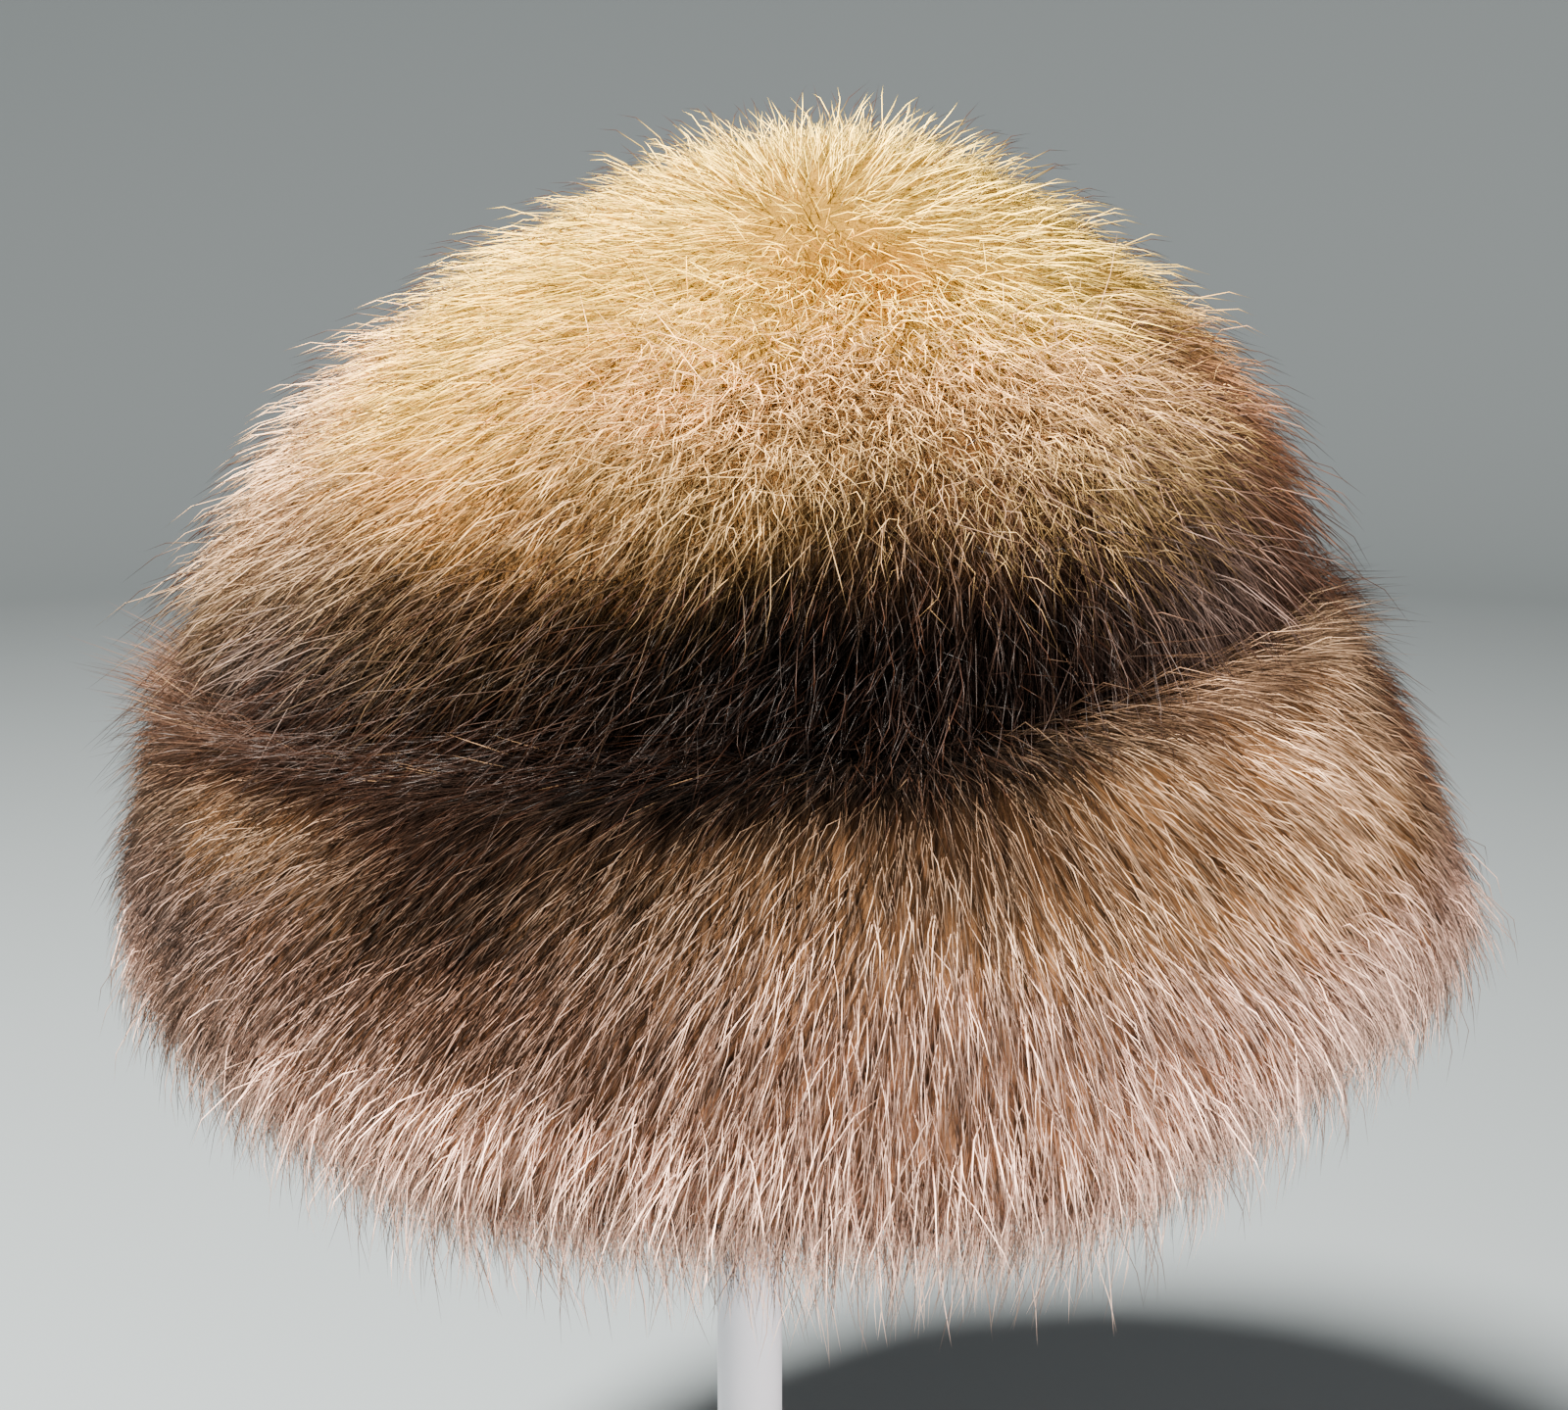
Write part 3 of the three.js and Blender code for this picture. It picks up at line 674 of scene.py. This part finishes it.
def hair_template(name, joints):
    """One hair along +Z from 0 to 1. along is how far it is from the root, ring is its outline there."""
    verts = []
    faces = []
    rings = []
    for share, thick in joints:
        rings.append(len(verts))
        for n in range(HAIR_SIDES):
            turn = 2 * math.pi * n / HAIR_SIDES
            verts.append((thick * math.cos(turn), thick * math.sin(turn), share))
    verts.append((0, 0, 1))
    faces.append(tuple(reversed(range(HAIR_SIDES))))
    for low, high in zip(rings, rings[1:]):
        for n in range(HAIR_SIDES):
            m = (n + 1) % HAIR_SIDES
            faces.append((low + n, low + m, high + m))
            faces.append((low + n, high + m, high + n))
    for n in range(HAIR_SIDES):
        faces.append((rings[-1] + n, rings[-1] + (n + 1) % HAIR_SIDES, len(verts) - 1))
    mesh = bpy.data.meshes.new(name)
    mesh.from_pydata(verts, [], faces)
    write(mesh, "along", "FLOAT", [z for x, y, z in verts])
    write(mesh, "ring", "FLOAT_VECTOR", [(x, y, 0) for x, y, z in verts])
    return bpy.data.objects.new(name, mesh)


guard_template = hair_template("guard hair", [(0, 1), (0.5, 0.85)])
long_template = hair_template("long hair", [(0, 1), (0.36, 0.95), (0.72, 0.7)])
wool_template = hair_template("wool hair", [(0, 1)])

HAIR_SIZES = {
    "Hairs per square metre": 1e5,
    "Tufts per square metre": 1e4,
    "Length": 0.03,
    "Shortest": 0.7,
    "Thickness": 0.0002,
    "Lift": 0.5,
    "Tip lift": 0.2,
    "Weight": 0.2,
    "Loose": 0.15,
    "Gather": 0.5,
}

hair_tree = bpy.data.node_groups.new("grow hair", "GeometryNodeTree")
hair_tree.interface.new_socket("Geometry", in_out="INPUT", socket_type="NodeSocketGeometry")
hair_tree.interface.new_socket("Hair", in_out="INPUT", socket_type="NodeSocketObject")
hair_tree.interface.new_socket("Material", in_out="INPUT", socket_type="NodeSocketMaterial")
hair_tree.interface.new_socket("Seed", in_out="INPUT", socket_type="NodeSocketInt")
for label in HAIR_SIZES:
    hair_tree.interface.new_socket(label, in_out="INPUT", socket_type="NodeSocketFloat")
hair_tree.interface.new_socket("Geometry", in_out="OUTPUT", socket_type="NodeSocketGeometry")
given = hair_tree.nodes.new("NodeGroupInput").outputs


def use(kind, *values, out=0, **settings):
    """Adds a node to the hair tree, with its inputs in order, and returns one of its outputs."""
    made = hair_tree.nodes.new(kind)
    for key, value in settings.items():
        setattr(made, key, value)
    sockets = [socket for socket in made.inputs if socket.enabled]
    for socket, value in zip(sockets, values):
        if isinstance(value, bpy.types.NodeSocket):
            hair_tree.links.new(value, socket)
        elif value is not None:
            socket.default_value = value
    return [socket for socket in made.outputs if socket.enabled][out]


def vector(operation, a, b=None):
    return use("ShaderNodeVectorMath", a, b, operation=operation)


def scaled(a, factor):
    made = hair_tree.nodes.new("ShaderNodeVectorMath")
    made.operation = "SCALE"
    hair_tree.links.new(a, made.inputs["Vector"])
    if isinstance(factor, bpy.types.NodeSocket):
        hair_tree.links.new(factor, made.inputs["Scale"])
    else:
        made.inputs["Scale"].default_value = factor
    return made.outputs[0]


def number(operation, a, b=None):
    return use("ShaderNodeMath", a, b, operation=operation)


def stored(name, kind):
    return use("GeometryNodeInputNamedAttribute", name, data_type=kind)


def store(geometry, name, kind, value):
    inputs = (geometry, True, name, value)
    return use("GeometryNodeStoreNamedAttribute", *inputs, data_type=kind, domain="POINT")


def chance(low, high, own_seed, kind="FLOAT"):
    """A random value for each hair, set apart from the other ones by a seed of its own."""
    seed = number("ADD", given["Seed"], own_seed)
    return use("FunctionNodeRandomValue", low, high, None, seed, data_type=kind)


def total(*vectors):
    result = vectors[0]
    for other in vectors[1:]:
        result = vector("ADD", result, other)
    return result


scatter = hair_tree.nodes.new("GeometryNodeDistributePointsOnFaces")
hair_tree.links.new(given["Geometry"], scatter.inputs["Mesh"])
hair_tree.links.new(given["Seed"], scatter.inputs["Seed"])
tufts = hair_tree.nodes.new("GeometryNodeDistributePointsOnFaces")
hair_tree.links.new(given["Geometry"], tufts.inputs["Mesh"])
hair_tree.links.new(given["Tufts per square metre"], tufts.inputs["Density"])
hair_tree.links.new(given["Seed"], tufts.inputs["Seed"])

points = scatter.outputs["Points"]
normal = scatter.outputs["Normal"]
density = number("MULTIPLY", given["Hairs per square metre"], stored("dense", "FLOAT"))
hair_tree.links.new(density, scatter.inputs["Density"])
root = use("GeometryNodeInputPosition")
comb = stored("comb", "FLOAT_VECTOR")
lift = given["Lift"]
loose = number("MULTIPLY", given["Loose"], stored("wild", "FLOAT"))


def flattened(a):
    """The direction with most of what stands off the coat taken out."""
    return vector("SUBTRACT", a, scaled(vector("PROJECT", a, normal), FLAT_SHARE))


shake = flattened(chance((-1, -1, -1), (1, 1, 1), 11, "FLOAT_VECTOR"))
tip_shake = flattened(chance((-1, -1, -1), (1, 1, 1), 12, "FLOAT_VECTOR"))
down = scaled(use("FunctionNodeInputVector", vector=(0, 0, -1)), given["Weight"])
start = vector(
    "NORMALIZE",
    total(
        scaled(normal, lift),
        scaled(comb, number("SUBTRACT", 1, lift)),
        scaled(shake, loose),
    ),
)
finish = vector(
    "NORMALIZE",
    total(scaled(normal, given["Tip lift"]), comb, down, scaled(tip_shake, loose)),
)
length = number("MULTIPLY", stored("long", "FLOAT"), given["Length"])
length = number("MULTIPLY", length, chance(given["Shortest"], 1.0, 13))
middles = tufts.outputs["Points"]
nearest = use("GeometryNodeSampleNearest", middles, root, domain="POINT")
tuft = use("GeometryNodeSampleIndex", middles, root, nearest, data_type="FLOAT_VECTOR", domain="POINT")
for name, kind, value in (
    ("root", "FLOAT_VECTOR", root),
    ("facing", "FLOAT_VECTOR", normal),
    ("start", "FLOAT_VECTOR", start),
    ("finish", "FLOAT_VECTOR", finish),
    ("gather", "FLOAT_VECTOR", scaled(vector("SUBTRACT", tuft, root), given["Gather"])),
    ("length", "FLOAT", length),
    ("tone", "FLOAT", chance(0.0, 1.0, 14)),
):
    points = store(points, name, kind, value)

template = use("GeometryNodeObjectInfo", given["Hair"], out=-1)
hairs = use("GeometryNodeInstanceOnPoints", points, True, template)
hairs = use("GeometryNodeRealizeInstances", hairs)
along = stored("along", "FLOAT")
ring = stored("ring", "FLOAT_VECTOR")
half_square = number("MULTIPLY", number("MULTIPLY", along, along), 0.5)
first = scaled(stored("start", "FLOAT_VECTOR"), number("SUBTRACT", along, half_square))
second = scaled(stored("finish", "FLOAT_VECTOR"), half_square)
path = scaled(vector("ADD", first, second), stored("length", "FLOAT"))
gathered = scaled(stored("gather", "FLOAT_VECTOR"), number("POWER", along, GATHER_LATE))
heading = vector(
    "ADD",
    scaled(stored("start", "FLOAT_VECTOR"), number("SUBTRACT", 1, along)),
    scaled(stored("finish", "FLOAT_VECTOR"), along),
)
side = vector("NORMALIZE", vector("CROSS_PRODUCT", heading, stored("facing", "FLOAT_VECTOR")))
rise = vector("NORMALIZE", vector("CROSS_PRODUCT", side, heading))
split = hair_tree.nodes.new("ShaderNodeSeparateXYZ")
hair_tree.links.new(ring, split.inputs[0])
outline = vector("ADD", scaled(side, split.outputs["X"]), scaled(rise, split.outputs["Y"]))
placed = total(stored("root", "FLOAT_VECTOR"), path, gathered, scaled(outline, given["Thickness"]))
hairs = use("GeometryNodeSetPosition", hairs, True, placed)
for name in ("root", "facing", "start", "finish", "gather", "length", "ring", "comb", "long", "dense"):
    hairs = use("GeometryNodeRemoveAttribute", hairs, name)
hairs = use("GeometryNodeSetShadeSmooth", hairs, True, True)
hairs = use("GeometryNodeSetMaterial", hairs, True, given["Material"])
result = hair_tree.nodes.new("NodeGroupOutput")
hair_tree.links.new(hairs, result.inputs[0])


def guide(name, grid, combs, longs, wilds, leads, ground, patches, top=None, denses=None):
    """The sheet that the hairs grow from, with their comb, length, disorder, colour and crowding."""
    mesh = grid_mesh(name, grid, top)
    flat = [value for row in combs for value in row]
    lengths = [value for row in longs for value in row]
    looseness = [value for row in wilds for value in row]
    reaches = [value for value, row in zip(leads, combs) for _ in row]
    if top is not None:
        flat.append(Vector((0, 1, 0)))
        lengths.append(1)
        looseness.append(1)
        reaches.append(leads[-1])
    write(mesh, "comb", "FLOAT_VECTOR", flat)
    write(mesh, "long", "FLOAT", lengths)
    write(mesh, "wild", "FLOAT", looseness)
    crowding = [value for row in denses for value in row] if denses else [1] * len(mesh.vertices)
    crowding += crowding[-1:] * (len(mesh.vertices) - len(crowding))
    write(mesh, "dense", "FLOAT", crowding)
    paint_tint(mesh, ground, patches, [value * reach for value, reach in zip(flat, reaches)])
    return mesh


DENSE_AT_SEAM = 1.1
LONG_AT_SEAM = 0.75
SEAM_REACH = 0.14
EVEN_LENGTH = 0.9
UNEVEN = 0.25
UNEVEN_SCALE = 30
LEAD = 13 * MM
LEAD_AT_SEAM = 0.3
LEAD_REACH = 0.35


def seam_more(share, much):
    """1 over most of the coat, and more by this much beside the seam."""
    return 1 + much * math.exp(-((share / SEAM_REACH) ** 2))


def hair_length(place, share):
    """The length of the hair here, next to the length asked for: uneven, and longer beside the seam."""
    return (EVEN_LENGTH + UNEVEN * noise.noise(place * UNEVEN_SCALE)) * seam_more(share, LONG_AT_SEAM)


def lead(share):
    """How far down the hair its visible part lies: near the root in the seam, where nothing covers it."""
    return LEAD * (LEAD_AT_SEAM + (1 - LEAD_AT_SEAM) * min(1, share / LEAD_REACH))


def grow(name, sheet, template, material, count, seed, slot, **sizes):
    """Grows about this many hairs over a sheet, as one plain mesh."""
    dense = [item.value for item in sheet.attributes["dense"].data]
    area = 0
    for face in sheet.polygons:
        area += face.area * sum(dense[v] for v in face.vertices) / len(face.vertices)
    holder = bpy.data.objects.new(name + " sheet", sheet)
    bpy.context.scene.collection.objects.link(holder)
    modifier = holder.modifiers.new("hair", "NODES")
    modifier.node_group = hair_tree
    values = dict(HAIR_SIZES)
    values.update({"Hair": template, "Material": material, "Seed": seed})
    values["Hairs per square metre"] = count / area
    values.update({key.replace("_", " ").capitalize(): value for key, value in sizes.items()})
    tufts = values.pop("Tufts", None)
    if tufts:
        values["Tufts per square metre"] = tufts / area
    for item in hair_tree.interface.items_tree:
        if item.in_out == "INPUT" and item.name in values:
            modifier[item.identifier] = values[item.name]
    bpy.context.view_layer.update()
    depsgraph = bpy.context.evaluated_depsgraph_get()
    mesh = bpy.data.meshes.new_from_object(
        holder.evaluated_get(depsgraph), preserve_all_data_layers=True, depsgraph=depsgraph
    )
    holder.modifiers.remove(modifier)
    bpy.data.objects.remove(holder)
    mesh.name = name
    return add_piece(name, mesh)


SHADED_ALONG = (0.05, 0.5)
TIPPED_ALONG = (0.4, 0.7)
TIP_EDGE = 0.02
TIPPED_WILD = (1.2, 2.2)


def hair_material(name, tone_and_glint_range, root_tone_and_shadow, tip_colour, tip_share, roughness, gloss):
    """Hair that is dark near its root, partly its own dark base and partly painted shade deep in the coat,
    has the coat's colour above it, with painted glints on the brightest hairs, and on some hairs dark tips.
    """
    material, tree, shader = new_material(name)

    def attribute(label, output):
        made = tree.nodes.new("ShaderNodeAttribute")
        made.attribute_name = label
        return made.outputs[output]

    def mixed(kind, factor, a, b):
        made = tree.nodes.new("ShaderNodeMix")
        made.data_type = "RGBA"
        made.blend_type = kind
        for label, value in (("Factor", factor), ("A", a), ("B", b)):
            if isinstance(value, bpy.types.NodeSocket):
                tree.links.new(value, made.inputs[label])
            else:
                made.inputs[label].default_value = value
        return made.outputs["Result"]

    def ranged(value, low, high, to_low, to_high):
        made = tree.nodes.new("ShaderNodeMapRange")
        for socket, given_value in zip(made.inputs, (value, low, high, to_low, to_high)):
            if isinstance(given_value, bpy.types.NodeSocket):
                tree.links.new(given_value, socket)
            else:
                socket.default_value = given_value
        return made.outputs[0]

    def times(a, b):
        made = tree.nodes.new("ShaderNodeMath")
        made.operation = "MULTIPLY"
        tree.links.new(a, made.inputs[0])
        tree.links.new(b, made.inputs[1])
        return made.outputs[0]

    along = attribute("along", "Fac")
    tone = attribute("tone", "Fac")
    wild = attribute("wild", "Fac")
    # Each hair's lightness differs at random; above 1 the brightest hairs give back more light than falls
    # on them, painted glints.
    lightness = ranged(times(tone, tone), 0, 1, *tone_and_glint_range)
    bright = tree.nodes.new("ShaderNodeCombineColor")
    for socket in bright.inputs:
        tree.links.new(lightness, socket)
    colour = mixed("MULTIPLY", 1.0, attribute("tint", "Color"), bright.outputs[0])
    # Painted shade near the root, over the hair's own darker base.
    shaded = mixed("MULTIPLY", 1.0, colour, root_tone_and_shadow)
    colour = mixed("MIX", ranged(along, *SHADED_ALONG, 0, 1), shaded, colour)
    tipped = ranged(tone, tip_share, tip_share + TIP_EDGE, 1, 0)
    tipped = times(tipped, ranged(wild, *TIPPED_WILD, 1, 0))
    colour = mixed("MIX", times(ranged(along, *TIPPED_ALONG, 0, 1), tipped), colour, tip_colour)
    tree.links.new(colour, shader.inputs["Base Color"])
    shader.inputs["Roughness"].default_value = roughness
    shader.inputs["Specular IOR Level"].default_value = gloss
    return material


guard_hair = hair_material(
    "guard hair",
    tone_and_glint_range=(0.25, 2.3),
    root_tone_and_shadow=(0.24, 0.16, 0.1, 1),
    tip_colour=(0.035, 0.013, 0.006, 1),
    tip_share=0.5,
    roughness=0.38,
    gloss=0.12,
)
wool_hair = hair_material(
    "wool hair",
    tone_and_glint_range=(0.16, 2.3),
    root_tone_and_shadow=(0.26, 0.18, 0.11, 1),
    tip_colour=(0.5, 0.3, 0.16, 1),
    tip_share=0.0,
    roughness=0.7,
    gloss=0.04,
)

# The crown's hair: it parts in a whorl high on the front and lies away from it on all sides, over and down.
# The hairs stand up where they part, and they are tangled below the whorl and to its right.
ROOT_DEPTH = 0.61
WHORL_REACH = 14 * MM
FLATTEN = 0.8
FLATTEN_LOW = 0.38
PART_DRIFT = 0.3
SEAM_DISORDER = 0.5
SEAM_NEAR = 0.16
TANGLES = [
    {"turn": -78, "height": 364, "wide": 20, "tall": 14, "much": 2.2},
    {"turn": -72, "height": 348, "wide": 26, "tall": 16, "much": 2.2},
    {"turn": -50, "height": 334, "wide": 18, "tall": 16, "much": 1.8},
    {"turn": -82, "height": 300, "wide": 26, "tall": 12, "much": 0.8},
]


def disorder(place):
    """How loosely the hairs lie here, as a multiple of the usual."""
    wild = 1
    for patch in TANGLES:
        wild += patch["much"] * nearness(patch, place)
    return wild


def seam_disorder(share):
    return SEAM_DISORDER * math.exp(-((share / SEAM_NEAR) ** 2))


root_grid = layer(crown_grid, crown_normals, crown_shares, ROOT_DEPTH, LUMP)
root_top = crown_top + up * PILE * ROOT_DEPTH


def crown_comb(place, normal):
    """Away from the whorl; below it the parting drifts to the right and the hair lies more to the sides."""
    away = place - whorl
    below = max(0, -away.z)
    away.x -= PART_DRIFT * below
    away.z *= FLATTEN + (FLATTEN_LOW - FLATTEN) * min(1, below / (whorl.z - seam_middle))
    away -= normal * away.dot(normal)
    return away / max(away.length, WHORL_REACH)


combs = [[crown_comb(p, n) for p, n in zip(*rows)] for rows in zip(crown_grid, crown_normals)]
longs = [[hair_length(p, share) for p in row] for row, share in zip(crown_grid, crown_shares)]
crowds = [[seam_more(share, DENSE_AT_SEAM)] * AROUND for share in crown_shares]
wilds = [[disorder(p) + seam_disorder(share) for p in row] for row, share in zip(root_grid, crown_shares)]
leads = [LEAD] * CROWN_ROWS
crown_sheet = guide(
    "crown sheet", root_grid, combs, longs, wilds, leads, CROWN_GROUND, CROWN_PATCHES,
    top=root_top, denses=crowds,
)
grow(
    "crown_wool_hair", crown_sheet, wool_template, wool_hair, count=49500, seed=3, slot="crown_fur",
    length=22 * MM, thickness=0.15 * MM, tufts=5200, gather=0.16, lift=0.38, tip_lift=0.14, loose=0.4,
)
grow(
    "crown_guard_hair", crown_sheet, guard_template, guard_hair, count=15500, seed=4, slot="crown_fur",
    length=28 * MM, thickness=0.1 * MM, tufts=3000, gather=0.06, lift=0.4, tip_lift=0.2, loose=0.32,
)
grow(
    "crown_long_hair", crown_sheet, long_template, guard_hair, count=5000, seed=7, slot="crown_fur",
    length=34 * MM, thickness=0.12 * MM, tufts=2200, gather=0.02, lift=0.55, tip_lift=0.3, loose=0.4,
)

# The curled hairs: fine pale guard hairs that lie over one another below the whorl and to its right.
# They grow from the crown's skin like the rest, and stand in every direction.
CURL_WILD = 3.5
CURLS = [
    {"turn": -72, "height": 354, "wide": 24, "tall": 13},
    {"turn": -50, "height": 338, "wide": 17, "tall": 14},
    {"turn": -94, "height": 344, "wide": 18, "tall": 9},
]
curls = [[sum(nearness(patch, p) for patch in CURLS) for p in row] for row in root_grid]
curl_wilds = [[CURL_WILD] * AROUND for _ in root_grid]
# As on the crown, darker towards the seam with painted shade there, and lighter towards the top, partly
# painted light from above.
CURL_GROUND = [(300, BROWN), (326, HAY), (346, GOLD), (366, CREAM)]
curl_sheet = guide(
    "curl sheet", root_grid, combs, longs, curl_wilds, leads, CURL_GROUND, [],
    top=root_top, denses=curls,
)
grow(
    "crown_curled_hair", curl_sheet, guard_template, guard_hair, count=4500, seed=9, slot="crown_fur",
    length=22 * MM, thickness=0.11 * MM, tufts=2200, gather=0.02, lift=0.5, tip_lift=0.3, loose=0.3,
)

# The brim's hair: it parts below the whorl and lies down and outwards, and droops past the brim's edge.
# Longer hairs hang from the edge itself and cross one another.
HANG = 0.85
HEM_ABOVE = 6
HEM_WILD = 1.8
root_grid = layer(brim_grid, brim_normals, brim_shares, ROOT_DEPTH, LUMP)


def brim_comb(turn, row, column):
    """Down the brim and away from the parting, and straight down under the edge."""
    below = root_grid[min(row + 1, len(root_grid) - 1)][column] - root_grid[max(0, row - 1)][column]
    below.normalize()
    under = max(0, brim_shares[row] - 1)
    below = below.lerp(Vector((0, 0, -1)), HANG * under)
    aside = Vector((-math.sin(turn), math.cos(turn), 0))
    return (below + aside * brim_lean(turn, brim_shares[row]) * (1 - under)).normalized()


combs = [[brim_comb(turn, r, c) for c, turn in enumerate(turns())] for r in range(len(root_grid))]
longs = [[hair_length(p, share) for p in row] for row, share in zip(root_grid, brim_shares)]
crowds = [[seam_more(share, DENSE_AT_SEAM)] * AROUND for share in brim_shares]
wilds = [[disorder(p) + seam_disorder(share) for p in row] for row, share in zip(root_grid, brim_shares)]
leads = [lead(share) for share in brim_shares]
brim_sheet = guide(
    "brim sheet", root_grid, combs, longs, wilds, leads, BRIM_GROUND, BRIM_PATCHES,
    denses=crowds,
)
grow(
    "brim_wool_hair", brim_sheet, wool_template, wool_hair, count=48000, seed=5, slot="brim_fur",
    length=22 * MM, thickness=0.17 * MM, tufts=5200, gather=0.16, lift=0.38, tip_lift=0.1, loose=0.36,
    weight=0.25,
)
grow(
    "brim_guard_hair", brim_sheet, guard_template, guard_hair, count=17000, seed=6, slot="brim_fur",
    length=28 * MM, thickness=0.1 * MM, tufts=3000, gather=0.06, lift=0.38, tip_lift=0.14, loose=0.32,
    weight=0.25,
)
hem_rows = slice(BRIM_ROWS - HEM_ABOVE, None)
hem_wilds = [[HEM_WILD] * AROUND for _ in root_grid[hem_rows]]
hem_sheet = guide(
    "hem sheet", root_grid[hem_rows], combs[hem_rows], longs[hem_rows], hem_wilds, leads[hem_rows],
    BRIM_GROUND, BRIM_PATCHES,
)
grow(
    "brim_hem_hair", hem_sheet, long_template, guard_hair, count=5500, seed=8, slot="brim_fur",
    length=35 * MM, thickness=0.12 * MM, tufts=900, gather=0.1, lift=0.4, tip_lift=0.05, loose=0.3,
    weight=0.8,
)

# The table and the wall round it, plain and pale: one round sweep that looks the same from every side.
SWEEP_COLOUR = (0.137, 0.161, 0.173, 1)
SWEEP_FLOOR = 1.9
SWEEP_ROUND = 0.7
SWEEP_TOP = 3.2
SWEEP_STEPS = 16
sweep, tree, shader = new_material("pale sweep")
shader.inputs["Base Color"].default_value = SWEEP_COLOUR
shader.inputs["Roughness"].default_value = 0.9
profile = [(0, 0)]
for n in range(SWEEP_STEPS + 1):
    angle = math.pi / 2 * n / SWEEP_STEPS
    profile.append((SWEEP_FLOOR + SWEEP_ROUND * math.sin(angle), SWEEP_ROUND * (1 - math.cos(angle))))
profile.append((SWEEP_FLOOR + SWEEP_ROUND, SWEEP_TOP))
mesh = lathe("sweep", profile, sweep)
mesh.flip_normals()
backdrop = bpy.data.objects.new("sweep", mesh)
bpy.context.scene.collection.objects.link(backdrop)

# Soft studio light: a small strong lamp high on the left, a large weak one on the right, and a pale room.
LOOK_AT = Vector((0, 0, 0.30))
ROOM_COLOUR = (0.97, 0.95, 1, 1)
ROOM_LIGHT = 0.15


def soft_lamp(name, place, size, power, colour):
    lamp = bpy.data.lights.new(name, "AREA")
    lamp.shape = "DISK"
    lamp.size = size
    lamp.energy = power
    lamp.color = colour
    holder = bpy.data.objects.new(name, lamp)
    aim = (LOOK_AT - Vector(place)).to_track_quat("-Z", "Y")
    holder.matrix_world = Matrix.Translation(place) @ aim.to_matrix().to_4x4()
    bpy.context.scene.collection.objects.link(holder)


soft_lamp("key", place=(-0.52, -0.38, 1.5), size=0.3, power=250, colour=(1, 0.94, 0.86))
soft_lamp("fill", place=(1.0, -0.95, 0.35), size=0.8, power=28, colour=(1, 0.9, 0.86))
world = bpy.data.worlds.new("room")
world.use_nodes = True
background = world.node_tree.nodes["Background"]
background.inputs["Color"].default_value = ROOM_COLOUR
background.inputs["Strength"].default_value = ROOM_LIGHT
bpy.context.scene.world = world

# The camera: it stands in front of the hat and a little above its middle, and looks down at it.
CAMERA_PLACE = (0.0085, -0.56, 0.389)
CAMERA_DOWN = 12
CAMERA_LENS = 56.25
camera = bpy.data.cameras.new("camera")
camera.sensor_width = 36
camera.lens = CAMERA_LENS
holder = bpy.data.objects.new("camera", camera)
holder.location = CAMERA_PLACE
holder.rotation_euler = (math.radians(90 - CAMERA_DOWN), 0, 0)
bpy.context.scene.collection.objects.link(holder)
bpy.context.scene.camera = holder
